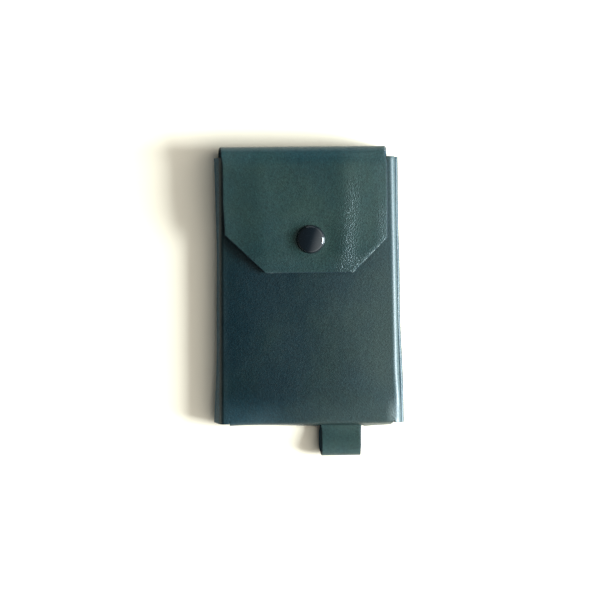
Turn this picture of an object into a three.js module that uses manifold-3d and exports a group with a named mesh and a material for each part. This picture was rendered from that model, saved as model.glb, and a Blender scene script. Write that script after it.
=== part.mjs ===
// A card holder folded from one blank of waxed leather, closed by a flap with one press stud, with a loop tab at its foot.
// Millimetres. +X is to the right, +Y towards the fold of the flap, +Z out of the front. The origin is the middle of the
// face that it rests on, the back.
// The leather is one hide. It is divided at its fold lines into panels, so that each fold that bends is a hinge.

import * as THREE from "three";
import { mergeVertices } from "three/addons/utils/BufferGeometryUtils.js";
import Module from "manifold-3d";

const wasm = await Module();
wasm.setup();

// Driving dimensions

const LEATHER = 1.2; // thickness of the hide
const SEAM = 0.05; // glue line, and the cut between two panels that stay still
const HINGE_CLEARANCE = 0.3; // between a panel's round end and the panel it turns against
const FOLD_LEAD = 0.3; // straight leather before a bend starts

const CASE = {
  frontWidth: 61.6, // over the front folds, halfway up
  backWidth: 67.4, // over the back folds, halfway up
  flare: 0.00026, // share by which it is wider for each millimetre further down
  depth: 8, // from the resting face to the face of the front panel
  top: 46.75, // where the side walls and the front panel end
  bottom: -46.2,
  foldRadius: 1, // of the leather's middle line
};
const WING = { innerEdge: 19, cornerCut: 4 };
const BOTTOM_WALL = { width: 57.6, frontFace: -47.1, backFace: -47.8, frontRadius: 1.8, backRadius: 1.2 };

// The strip that runs up the back, over the top and down the front. It lies a little to the left of the middle.
const STRIP = { left: -29.8, right: 27.7, backLeft: -30.8, backRight: 28.4 };
const ROOF = { outerFace: 50.25, height: 12, frontRadius: 3.2, backRadius: 2 };
const FLAP = {
  edge: 6.15, // y of the free edge
  edgeHeight: 9.4, // height of the outer face at the free edge
  shoulderY: 28, // where the flap starts to come down to the press stud
  slope: THREE.MathUtils.degToRad(4), // from there to just past the press stud
  dipY: 11.9, // where it dips to its free edge
  cutLeft: [14.8, 13.4], // width and height of the cut corners
  cutRight: [12.1, 12],
};

const SNAP = {
  x: 0.7,
  y: 17.65,
  height: 11.2, // of the flap's outer face there
  capRadius: 5,
  capHeight: 1.7,
  shankRadius: 1.1,
  socketRadius: 4.2,
  socketBore: 2.45,
  socketHeight: 1.35,
  studHeadRadius: 1.8,
  studFlangeRadius: 3,
  postFlangeRadius: 3.4,
  springWire: 0.45,
};

const TAB = {
  x: 11,
  width: 14.4,
  end: -58.1,
  axisY: -49.3,
  axisZ: 2.45,
  bulgeRadius: 2.4, // of the rounded fold at its end
  bulgeZ: 2.75,
  tailLength: 12,
  slotHeight: 2.75, // of the slot in the bottom wall
};

const HALF = LEATHER / 2;
const ARC_STEPS = 6;
const ROUND_STEPS = 32;

// Finishes

const leather = new THREE.MeshStandardMaterial({ color: 0x2c4a4c, roughness: 0.42, metalness: 0 });
const blackEnamel = new THREE.MeshStandardMaterial({ color: 0x14171a, roughness: 0.22, metalness: 0.3 });
const darkSteel = new THREE.MeshStandardMaterial({ color: 0x6d6f72, roughness: 0.35, metalness: 1 });

const cardHolder = new THREE.Group();
cardHolder.name = "card_holder";

// Shapes drawn as (y, z) and drawn out along X, and shapes drawn as (x, z) and drawn out along -Y.
const ALONG_X = new THREE.Matrix4().makeBasis(
  new THREE.Vector3(0, 1, 0),
  new THREE.Vector3(0, 0, 1),
  new THREE.Vector3(1, 0, 0),
);
const ALONG_MINUS_Y = new THREE.Matrix4().makeBasis(
  new THREE.Vector3(1, 0, 0),
  new THREE.Vector3(0, 0, 1),
  new THREE.Vector3(0, -1, 0),
);

/** Adds a named mesh to the card holder, or to a group inside it. */
function addPart(name, geometry, material, parent = cardHolder) {
  const mesh = new THREE.Mesh(geometry, material);
  mesh.name = name;
  parent.add(mesh);
  return mesh;
}

/** Points of an arc about (cx, cy) from one angle to another, in degrees. */
function arcPoints(cx, cy, radius, fromDeg, toDeg, steps = ARC_STEPS) {
  return Array.from({ length: steps + 1 }, (_, i) => {
    const angle = THREE.MathUtils.degToRad(THREE.MathUtils.lerp(fromDeg, toDeg, i / steps));
    return new THREE.Vector2(cx + radius * Math.cos(angle), cy + radius * Math.sin(angle));
  });
}

/** A path through corners [x, y, radius]; a corner with a radius becomes an arc. */
function roundedPath(corners) {
  return corners.flatMap(([x, y, radius], i) => {
    const here = new THREE.Vector2(x, y);
    if (!radius) return [here];
    const [before, after] = [corners[i - 1], corners[i + 1]].map(([nx, ny]) =>
      new THREE.Vector2(nx, ny).sub(here).normalize(),
    );
    const halfAngle = Math.acos(before.dot(after)) / 2;
    const centre = before.clone().add(after).normalize().multiplyScalar(radius / Math.sin(halfAngle)).add(here);
    const tangent = radius / Math.tan(halfAngle);
    const start = before.multiplyScalar(tangent).add(here).sub(centre);
    const end = after.multiplyScalar(tangent).add(here).sub(centre);
    const turn = Math.atan2(start.cross(end), start.dot(end));
    const origin = new THREE.Vector2();
    return Array.from({ length: ARC_STEPS + 1 }, (_, k) =>
      start.clone().rotateAround(origin, (turn * k) / ARC_STEPS).add(centre),
    );
  });
}

/** The closed outline of leather whose middle line is the path. The start can be rounded, to turn about it. */
function leatherOutline(path, roundStart = false) {
  const normals = path.map((point, i) => {
    const before = path[Math.max(i - 1, 0)];
    const after = path[Math.min(i + 1, path.length - 1)];
    const along = after.clone().sub(before).normalize();
    return new THREE.Vector2(-along.y, along.x).multiplyScalar(HALF);
  });
  const left = path.map((point, i) => point.clone().add(normals[i]));
  const right = path.map((point, i) => point.clone().sub(normals[i])).reverse();
  const round = [];
  if (roundStart) {
    const origin = new THREE.Vector2();
    for (let k = 1; k < ARC_STEPS; k += 1) {
      round.push(normals[0].clone().negate().rotateAround(origin, (-Math.PI * k) / ARC_STEPS).add(path[0]));
    }
  }
  return new THREE.Shape([...left, ...right, ...round]);
}

/** A shape drawn as (y, z), solid from x = from to x = to. */
function solidAlongX(shape, from, to) {
  const geometry = new THREE.ExtrudeGeometry(shape, { depth: to - from, bevelEnabled: false });
  return geometry.applyMatrix4(ALONG_X).translate(from, 0, 0);
}

/** A shape drawn as (x, z), solid from y = bottom to y = top. */
function solidAlongY(shape, bottom, top) {
  const geometry = new THREE.ExtrudeGeometry(shape, { depth: top - bottom, bevelEnabled: false });
  return geometry.applyMatrix4(ALONG_MINUS_Y).translate(0, top, 0);
}

/** A shape drawn as (x, y), solid from z = low to z = high. */
function solidAlongZ(shape, low, high) {
  return new THREE.ExtrudeGeometry(shape, { depth: high - low, bevelEnabled: false }).translate(0, 0, low);
}

/** An upright cylinder about (x, y) between two heights. */
function uprightCylinder(x, y, radius, low, high) {
  const cylinder = new THREE.CylinderGeometry(radius, radius, high - low, ROUND_STEPS);
  return cylinder.rotateX(Math.PI / 2).translate(x, y, (low + high) / 2);
}

/** A closed geometry as a manifold solid. */
function toSolid(geometry) {
  const bare = geometry.clone();
  bare.deleteAttribute("normal");
  bare.deleteAttribute("uv");
  const merged = mergeVertices(bare, 1e-4);
  const triVerts = new Uint32Array(merged.index.array);
  const vertProperties = merged.attributes.position.array;
  return new wasm.Manifold(new wasm.Mesh({ numProp: 3, vertProperties, triVerts }));
}

/** What is left of a geometry when others are cut out of it. */
function cut(geometry, ...cutters) {
  const left = cutters.reduce((solid, cutter) => solid.subtract(toSolid(cutter)), toSolid(geometry));
  const mesh = left.getMesh();
  const made = new THREE.BufferGeometry();
  made.setAttribute("position", new THREE.BufferAttribute(mesh.vertProperties, 3));
  made.setIndex(new THREE.BufferAttribute(mesh.triVerts, 1));
  made.computeVertexNormals();
  return made;
}

/** A turned piece: a closed profile of [radius, height], about +Z. */
function turned(profile, closed) {
  const points = profile.map(([radius, height]) => new THREE.Vector2(radius, height));
  if (closed) points.push(points[0].clone());
  return new THREE.LatheGeometry(points, ROUND_STEPS).rotateX(Math.PI / 2);
}

// The case

const FRONT_MIDDLE = CASE.depth - HALF; // height of the middle line of the front panel
const WING_MIDDLE = LEATHER + SEAM + HALF;
const frontFoldX = CASE.frontWidth / 2 - HALF;
const backFoldX = CASE.backWidth / 2 - HALF;
const frontFlatHalf = frontFoldX - CASE.foldRadius - FOLD_LEAD - SEAM;
const wingStart = backFoldX - 2 * CASE.foldRadius;
const bottomFoldStart = BOTTOM_WALL.frontFace + HALF + BOTTOM_WALL.frontRadius + FOLD_LEAD;
const backFlatStart = BOTTOM_WALL.backFace + HALF + BOTTOM_WALL.backRadius + FOLD_LEAD;

/** Widens a piece of the case towards its foot. */
function flared(geometry) {
  const position = geometry.getAttribute("position");
  for (let i = 0; i < position.count; i += 1) {
    position.setX(i, position.getX(i) * (1 - CASE.flare * position.getY(i)));
  }
  return geometry;
}

/** The front panel, flat between its folds, with the hole for the press stud's post. */
function frontPanel() {
  const foldStart = bottomFoldStart + SEAM;
  const shape = new THREE.Shape([
    new THREE.Vector2(-frontFlatHalf, foldStart),
    new THREE.Vector2(frontFlatHalf, foldStart),
    new THREE.Vector2(frontFlatHalf, CASE.top),
    new THREE.Vector2(-frontFlatHalf, CASE.top),
  ]);
  const hole = uprightCylinder(SNAP.x, SNAP.y, SNAP.shankRadius + 0.2, 0, 2 * CASE.depth);
  return cut(solidAlongZ(shape, CASE.depth - LEATHER, CASE.depth), hole);
}

/** A side wall with its front and back folds; side is -1 on the left and 1 on the right. */
function sideWall(side) {
  const path = roundedPath([
    [side * (frontFlatHalf + SEAM), FRONT_MIDDLE],
    [side * frontFoldX, FRONT_MIDDLE, CASE.foldRadius],
    [side * backFoldX, WING_MIDDLE, CASE.foldRadius],
    [side * (wingStart + SEAM), WING_MIDDLE],
  ]);
  return solidAlongY(leatherOutline(path), CASE.bottom, CASE.top);
}

/** A wing, folded in flat behind the cards and glued to the back panel, with its corners cut away. */
function wing(side) {
  const shape = new THREE.Shape([
    new THREE.Vector2(side * wingStart, CASE.bottom),
    new THREE.Vector2(side * wingStart, CASE.top),
    new THREE.Vector2(side * WING.innerEdge, CASE.top - WING.cornerCut),
    new THREE.Vector2(side * WING.innerEdge, CASE.bottom + WING.cornerCut),
  ]);
  return solidAlongZ(shape, LEATHER + SEAM, 2 * LEATHER + SEAM);
}

/** The bottom wall with its two folds, and the slot that the tab comes out of. */
function bottomWall() {
  const path = roundedPath([
    [bottomFoldStart, FRONT_MIDDLE],
    [BOTTOM_WALL.frontFace + HALF, FRONT_MIDDLE, BOTTOM_WALL.frontRadius],
    [BOTTOM_WALL.backFace + HALF, HALF, BOTTOM_WALL.backRadius],
    [backFlatStart, HALF],
  ]);
  const half = BOTTOM_WALL.width / 2;
  const slot = new THREE.BoxGeometry(TAB.width + 1.6, 3, TAB.slotHeight);
  slot.translate(TAB.x, BOTTOM_WALL.backFace + 0.9, LEATHER + TAB.slotHeight / 2);
  return cut(solidAlongX(leatherOutline(path), -half, half), slot);
}

// The fold over the top: its two creases turn about points on the leather's middle line, halfway round each bend.

const frontBend = {
  y: ROOF.outerFace - HALF - ROOF.frontRadius,
  z: ROOF.height - HALF - ROOF.frontRadius,
  radius: ROOF.frontRadius,
};
const backBend = { y: ROOF.outerFace - HALF - ROOF.backRadius, z: HALF + ROOF.backRadius, radius: ROOF.backRadius };

/** The part of a bend, in degrees, that lies between a crease's axis and the end of the panel it turns against. */
function creaseGapDeg(bend) {
  return THREE.MathUtils.radToDeg((HALF + HINGE_CLEARANCE) / bend.radius);
}

/** The back panel, flat, with the start of the bend at its top. */
function backPanel() {
  const bendEnd = -45 - creaseGapDeg(backBend);
  const path = [
    new THREE.Vector2(backFlatStart + SEAM, HALF),
    ...arcPoints(backBend.y, backBend.z, backBend.radius, -90, bendEnd, 3),
  ];
  return solidAlongX(leatherOutline(path), STRIP.backLeft, STRIP.backRight);
}

/** The roof: the wall over the open end of the pocket, from the back crease to the front crease. */
function flapRoof() {
  const path = [
    ...arcPoints(backBend.y, backBend.z, backBend.radius, -45, 0),
    ...arcPoints(frontBend.y, frontBend.z, frontBend.radius, 0, 45 - creaseGapDeg(frontBend)),
  ];
  return solidAlongX(leatherOutline(path, true), STRIP.left, STRIP.right);
}

/** The flap: from the front crease down over the press stud to its free edge, with its corners cut off. */
function flapPanel() {
  const snapLine = (y) => SNAP.height - HALF + (y - SNAP.y) * Math.tan(FLAP.slope);
  const lie = roundedPath([
    [frontBend.y, ROOF.height - HALF],
    [FLAP.shoulderY, snapLine(FLAP.shoulderY), 60],
    [FLAP.dipY, snapLine(FLAP.dipY), 12],
    [FLAP.edge, FLAP.edgeHeight - HALF],
  ]);
  const path = [...arcPoints(frontBend.y, frontBend.z, frontBend.radius, 45, 90), ...lie.slice(1)];
  const blank = solidAlongX(leatherOutline(path, true), STRIP.left, STRIP.right);
  const corner = (x, side, [width, height]) => {
    const past = 2; // the cutter reaches past the leather
    const slope = height / width;
    const shape = new THREE.Shape([
      new THREE.Vector2(x + side * past, FLAP.edge + height + past * slope),
      new THREE.Vector2(x - side * (width + past), FLAP.edge - past * slope),
      new THREE.Vector2(x + side * past, FLAP.edge - past * slope),
    ]);
    return solidAlongZ(shape, 0, 2 * ROOF.height);
  };
  const hole = uprightCylinder(SNAP.x, SNAP.y, SNAP.shankRadius + 0.3, CASE.depth, 2 * ROOF.height);
  return cut(blank, corner(STRIP.left, -1, FLAP.cutLeft), corner(STRIP.right, 1, FLAP.cutRight), hole);
}

// The tab

/** Adds a teardrop, the outline round two circles, to a path or shape; all in (y, z). */
function teardrop(path, wide, wideRadius, narrow, narrowRadius) {
  const spread = wide.distanceTo(narrow);
  const axisAngle = Math.atan2(narrow.y - wide.y, narrow.x - wide.x);
  const tangent = Math.acos((wideRadius - narrowRadius) / spread);
  path.absarc(wide.x, wide.y, wideRadius, axisAngle + tangent, axisAngle - tangent + 2 * Math.PI, false);
  path.absarc(narrow.x, narrow.y, narrowRadius, axisAngle - tangent, axisAngle + tangent, false);
  path.closePath();
  return path;
}

/** The loop outside the case: doubled leather that swells to a round fold at its end. */
function tabLoop() {
  const fold = new THREE.Vector2(TAB.end + TAB.bulgeRadius, TAB.bulgeZ);
  const root = new THREE.Vector2(TAB.axisY, TAB.axisZ);
  const shape = teardrop(new THREE.Shape(), fold, TAB.bulgeRadius, root, LEATHER);
  const hollowEnd = root.clone().lerp(fold, 0.4);
  shape.holes.push(teardrop(new THREE.Path(), fold, TAB.bulgeRadius - LEATHER, hollowEnd, 0.15));
  return solidAlongX(shape, TAB.x - TAB.width / 2, TAB.x + TAB.width / 2);
}

/** The tab's two tails, glued together and to the back panel inside the case. */
function tabTails() {
  const front = BOTTOM_WALL.backFace + 0.4;
  const tails = new THREE.BoxGeometry(TAB.width, TAB.tailLength, 2 * LEATHER);
  return tails.translate(TAB.x, front + TAB.tailLength / 2, 2 * LEATHER + SEAM);
}

// The press stud

/** The cap's dome and rolled rim, with the shank that goes through the flap and is spread inside the socket. */
function snapCap() {
  const { capRadius, capHeight, shankRadius } = SNAP;
  const dome = arcPoints(0, 0, 1, 12, 90, 8).map(({ x, y }) => [x * (capRadius - 0.3), 0.35 + y * (capHeight - 0.35)]);
  dome[dome.length - 1][0] = 0;
  return turned([
    [0, -1.82],
    [1.8, -1.82],
    [1.8, -1.68],
    [shankRadius, -1.66],
    [shankRadius, SEAM],
    [capRadius - 0.4, SEAM],
    [capRadius, 0.3],
    [capRadius - 0.05, 0.55],
    ...dome,
  ]);
}

/** The socket: a pressed cup with a groove that holds the spring. */
function snapSocket() {
  const { socketRadius, socketBore, socketHeight, shankRadius } = SNAP;
  const top = -LEATHER - SEAM;
  const plate = top - 0.35;
  const bottom = top - socketHeight;
  return turned(
    [
      [shankRadius + 0.25, plate],
      [socketBore, plate],
      [socketBore, plate - 0.15],
      [socketBore + 0.55, plate - 0.2],
      [socketBore + 0.55, bottom + 0.25],
      [socketBore, bottom + 0.2],
      [socketBore, bottom],
      [socketRadius - 0.3, bottom],
      [socketRadius, bottom + 0.3],
      [socketRadius, top],
      [shankRadius + 0.25, top],
    ],
    true,
  );
}

/** The spring: an open ring of wire that sits in the socket's groove. */
function snapSpring() {
  const wire = new THREE.Shape(arcPoints(0, 0, SNAP.springWire / 2, 0, 315, 7));
  const ring = new THREE.EllipseCurve(0, 0, SNAP.socketBore + 0.1, SNAP.socketBore + 0.1, 0.3, 2 * Math.PI - 0.3);
  const points = ring.getPoints(24).map(({ x, y }) => new THREE.Vector3(x, y, -LEATHER - 0.98));
  const extrudePath = new THREE.CatmullRomCurve3(points);
  return new THREE.ExtrudeGeometry(wire, { steps: 24, extrudePath, bevelEnabled: false });
}

/** The stud: a flange on the front panel and a waisted head that the spring grips. */
function snapStud() {
  const { studFlangeRadius, studHeadRadius } = SNAP;
  const bore = 1.3;
  return turned(
    [
      [bore, SEAM],
      [studFlangeRadius, SEAM],
      [studFlangeRadius, 0.25],
      [studHeadRadius - 0.25, 0.3],
      [studHeadRadius - 0.25, 0.55],
      [studHeadRadius, 0.75],
      [studHeadRadius, 0.95],
      [studHeadRadius - 0.3, 1.12],
      [bore, 1.12],
    ],
    true,
  );
}

/** The post: a rivet whose flange lies inside the pocket and whose shank holds the stud. */
function snapPost() {
  const underside = -LEATHER - SEAM;
  return turned([
    [0, underside - 0.35],
    [SNAP.postFlangeRadius - 0.2, underside - 0.35],
    [SNAP.postFlangeRadius, underside - 0.2],
    [SNAP.postFlangeRadius, underside],
    [SNAP.shankRadius - 0.1, underside],
    [SNAP.shankRadius - 0.1, 1.08],
    [0, 1.08],
  ]);
}

// Assembly

addPart("front_panel", flared(frontPanel()), leather);
addPart("bottom_wall", flared(bottomWall()), leather);
addPart("back_panel", backPanel(), leather);
for (const [word, side] of [
  ["left", -1],
  ["right", 1],
]) {
  addPart(`${word}_side_wall`, flared(sideWall(side)), leather);
  addPart(`${word}_wing`, flared(wing(side)), leather);
}
addPart("flap_roof", flapRoof(), leather);
addPart("flap_panel", flapPanel(), leather);
addPart("tab_loop", tabLoop(), leather);
addPart("tab_tails", tabTails(), leather);

const studOnFront = new THREE.Group();
studOnFront.position.set(SNAP.x, SNAP.y, CASE.depth);
addPart("snap_stud", snapStud(), darkSteel, studOnFront);
addPart("snap_post", snapPost(), darkSteel, studOnFront);
cardHolder.add(studOnFront);

// The flap slopes at the press stud, and the cap and socket sit square on it.
const snapOnFlap = new THREE.Group();
snapOnFlap.position.set(SNAP.x, SNAP.y, SNAP.height);
snapOnFlap.rotation.x = FLAP.slope;
addPart("snap_cap", snapCap(), blackEnamel, snapOnFlap);
addPart("snap_socket", snapSocket(), darkSteel, snapOnFlap);
addPart("snap_spring", snapSpring(), darkSteel, snapOnFlap);
cardHolder.add(snapOnFlap);

export default cardHolder;
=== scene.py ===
"""The looks of a folded-leather card holder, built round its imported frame.

The leather is modelled as real sheets: each is a curved middle surface that is given its thickness, with a
grain side, a flesh side and cut edges. Lengths in the classes are millimetres in the frame of the part, and
every mesh is written in metres.
"""

from __future__ import annotations

import logging
import math
from dataclasses import dataclass, field
from enum import Enum
from typing import Any, Callable, Mapping, Sequence

import bmesh
import bpy
import numpy as np
from mathutils import Matrix, Vector


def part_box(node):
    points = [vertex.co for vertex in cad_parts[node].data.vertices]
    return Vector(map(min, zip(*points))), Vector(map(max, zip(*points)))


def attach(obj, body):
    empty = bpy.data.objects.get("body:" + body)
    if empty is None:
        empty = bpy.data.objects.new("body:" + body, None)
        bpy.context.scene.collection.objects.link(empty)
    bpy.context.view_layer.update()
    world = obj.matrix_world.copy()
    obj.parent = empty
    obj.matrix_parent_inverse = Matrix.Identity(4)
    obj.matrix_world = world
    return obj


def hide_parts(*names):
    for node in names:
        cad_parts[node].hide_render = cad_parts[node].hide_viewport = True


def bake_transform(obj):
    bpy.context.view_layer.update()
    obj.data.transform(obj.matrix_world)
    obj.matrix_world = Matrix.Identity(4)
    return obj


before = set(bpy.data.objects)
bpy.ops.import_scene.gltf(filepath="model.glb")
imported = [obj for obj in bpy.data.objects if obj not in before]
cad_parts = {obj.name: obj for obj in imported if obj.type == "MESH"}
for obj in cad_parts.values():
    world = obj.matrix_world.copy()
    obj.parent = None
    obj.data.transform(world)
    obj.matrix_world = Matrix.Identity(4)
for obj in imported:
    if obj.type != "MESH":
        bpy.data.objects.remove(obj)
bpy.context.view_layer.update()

LOG = logging.getLogger("card_holder")
MM = 0.001
TURN_SIDES = 96
SHARP_ANGLE = math.radians(50)
# What every point of the leather knows for its finish: how near it is to a fold and to a cut edge, how
# wrinkled it is, how light and how blue it is painted, which is dye and also painted light and shade, and
# how rubbed it is, which is wear and also painted highlights.
HIDE_NUMBERS = ("fold", "edge", "wrinkle", "tone", "rub", "cool")
Colour = tuple[float, float, float]
Point2 = tuple[float, float]
Point3 = tuple[float, float, float]


class Body(Enum):
    """The moving bodies of the frame."""

    CASE = "case"
    ROOF = "roof"
    FLAP = "flap"
    TAB = "tab"


class Slot(Enum):
    """The record's material slots."""

    LEATHER = "leather"
    ENAMEL = "black_enamel"
    STEEL = "dark_steel"


# ----------------------------------------------------------------------
# Shader graphs
# ----------------------------------------------------------------------


class Signal:
    """A number that varies over a surface: a socket whose arithmetic adds Math nodes."""

    def __init__(self, graph: Graph, socket: bpy.types.NodeSocket) -> None:
        """Wraps a socket of a graph."""
        self.graph = graph
        self.socket = socket

    def _math(self, operation: str, *values: Signal | float) -> Signal:
        """Adds one Math node.

        Args:
            operation: The Math node's operation.
            values: Its inputs, in order.

        Returns:
            The node's result.
        """
        inputs = dict(enumerate(values))
        return self.graph.node("ShaderNodeMath", {"operation": operation}, inputs, 0)

    def __add__(self, other: Signal | float) -> Signal:
        """self + other."""
        return self._math("ADD", self, other)

    __radd__ = __add__

    def __sub__(self, other: Signal | float) -> Signal:
        """self - other."""
        return self._math("SUBTRACT", self, other)

    def __rsub__(self, other: float) -> Signal:
        """other - self."""
        return self._math("SUBTRACT", other, self)

    def __mul__(self, other: Signal | float) -> Signal:
        """self * other."""
        return self._math("MULTIPLY", self, other)

    __rmul__ = __mul__

    def clipped(self) -> Signal:
        """The value kept between 0 and 1."""
        return self._math("MINIMUM", self._math("MAXIMUM", self, 0.0), 1.0)


class Graph:
    """A material's node tree, written one node at a time."""

    def __init__(self, name: str) -> None:
        """Starts an empty material with a Principled shader.

        Args:
            name: The material's name.
        """
        self.material = bpy.data.materials.new(name)
        self.material.use_nodes = True
        self.tree = self.material.node_tree
        self.tree.nodes.clear()
        output = self.tree.nodes.new("ShaderNodeOutputMaterial")
        self.shader = self.tree.nodes.new("ShaderNodeBsdfPrincipled")
        self.tree.links.new(self.shader.outputs[0], output.inputs["Surface"])

    def _feed(self, socket: bpy.types.NodeSocket, value: Any) -> None:
        """Links a signal to a socket, or sets the socket's own value.

        Args:
            socket: The socket.
            value: A signal, a number, or a tuple.
        """
        if isinstance(value, Signal):
            self.tree.links.new(value.socket, socket)
        elif isinstance(value, tuple) and len(value) == 3 and socket.type == "RGBA":
            socket.default_value = (*value, 1.0)
        else:
            socket.default_value = value

    def node(
        self,
        kind: str,
        settings: Mapping[str, Any] | None = None,
        inputs: Mapping[str | int, Any] | None = None,
        output: str | int = 0,
    ) -> Signal:
        """Adds a node.

        Args:
            kind: The node's type.
            settings: Its properties, set before its sockets; "stops" are a ramp's positions and levels.
            inputs: Values or signals for its sockets.
            output: The socket to return.

        Returns:
            The chosen output as a signal.
        """
        made = self.tree.nodes.new(kind)
        for key, value in (settings or {}).items():
            if key == "stops":
                self.set_stops(made.color_ramp, value)
            else:
                setattr(made, key, value)
        for key, value in (inputs or {}).items():
            self._feed(made.inputs[key], value)
        return Signal(self, made.outputs[output])

    @staticmethod
    def set_stops(ramp: bpy.types.ColorRamp, stops: Sequence[tuple[float, float | Colour]]) -> None:
        """Gives a ramp its stops, each a position with a grey level or a colour.

        Args:
            ramp: The colour ramp.
            stops: The positions, each with its grey level or colour.
        """
        while len(ramp.elements) < len(stops):
            ramp.elements.new(1.0)
        for element, (position, value) in zip(ramp.elements, stops):
            element.position = position
            colour = value if isinstance(value, tuple) else (value, value, value)
            element.color = (*colour, 1.0)

    def surface(self, **inputs: Any) -> None:
        """Feeds the Principled shader; a name's underscores stand for spaces."""
        for key, value in inputs.items():
            self._feed(self.shader.inputs[key.replace("_", " ")], value)

    def millimetres(self, stretch: Point3 = (1.0, 1.0, 1.0)) -> Signal:
        """Object coordinates in millimetres, stretched along each axis.

        Args:
            stretch: How many times longer the pattern gets along each axis.

        Returns:
            The coordinates.
        """
        place = self.node("ShaderNodeTexCoord", output="Object")
        scale = tuple(1.0 / (MM * s) for s in stretch)
        return self.node("ShaderNodeVectorMath", {"operation": "MULTIPLY"}, {0: place, 1: scale})

    def attribute(self, name: str) -> Signal:
        """A number stored on the mesh."""
        return self.node("ShaderNodeAttribute", {"attribute_name": name}, output="Fac")

    def noise(
        self,
        where: Signal,
        scale: float,
        detail: float = 3.0,
        roughness: float = 0.5,
        **settings: Any,
    ) -> Signal:
        """A noise between about 0 and 1.

        Args:
            where: The coordinates.
            scale: Features per unit of the coordinates.
            detail: Octaves.
            roughness: Strength of the finer octaves.
            settings: Further properties of the Noise node.

        Returns:
            The noise.
        """
        inputs = {"Vector": where, "Scale": scale, "Detail": detail, "Roughness": roughness}
        return self.node("ShaderNodeTexNoise", settings, inputs, 0)

    def cells(self, where: Signal, scale: float, smoothness: float) -> Signal:
        """Rounded cells: how far a place is from the middle of its cell."""
        inputs = {"Vector": where, "Scale": scale, "Smoothness": smoothness, "Randomness": 1.0}
        return self.node("ShaderNodeTexVoronoi", {"feature": "SMOOTH_F1"}, inputs, "Distance")

    def ramp(self, value: Signal, *stops: tuple[float, float]) -> Signal:
        """A value passed through grey stops."""
        return self.node("ShaderNodeValToRGB", {"stops": stops}, {"Fac": value})

    def blend(
        self,
        share: Signal | float,
        first: Signal | Colour,
        second: Signal | Colour,
        mode: str = "MIX",
    ) -> Signal:
        """A colour between two colours, or the first one tinted by the second."""
        settings = {"data_type": "RGBA", "blend_type": mode}
        return self.node("ShaderNodeMix", settings, {0: share, 6: first, 7: second}, 2)

    def scaled(self, colour: Signal, factor: float) -> Signal:
        """A colour made lighter or darker."""
        return self.node("ShaderNodeVectorMath", {"operation": "SCALE"}, {0: colour, "Scale": factor})

    def bump(self, height: Signal, depth_mm: float, over: Signal | None = None) -> Signal:
        """A normal from a height.

        Args:
            height: The height, 1 at the top.
            depth_mm: What a height of 1 measures.
            over: The normal of a finer bump that this one is laid over.

        Returns:
            The normal.
        """
        inputs = {"Height": height, "Distance": depth_mm * MM, "Strength": 1.0}
        if over is not None:
            inputs["Normal"] = over
        return self.node("ShaderNodeBump", {}, inputs)


# ----------------------------------------------------------------------
# Finishes
# ----------------------------------------------------------------------


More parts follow.
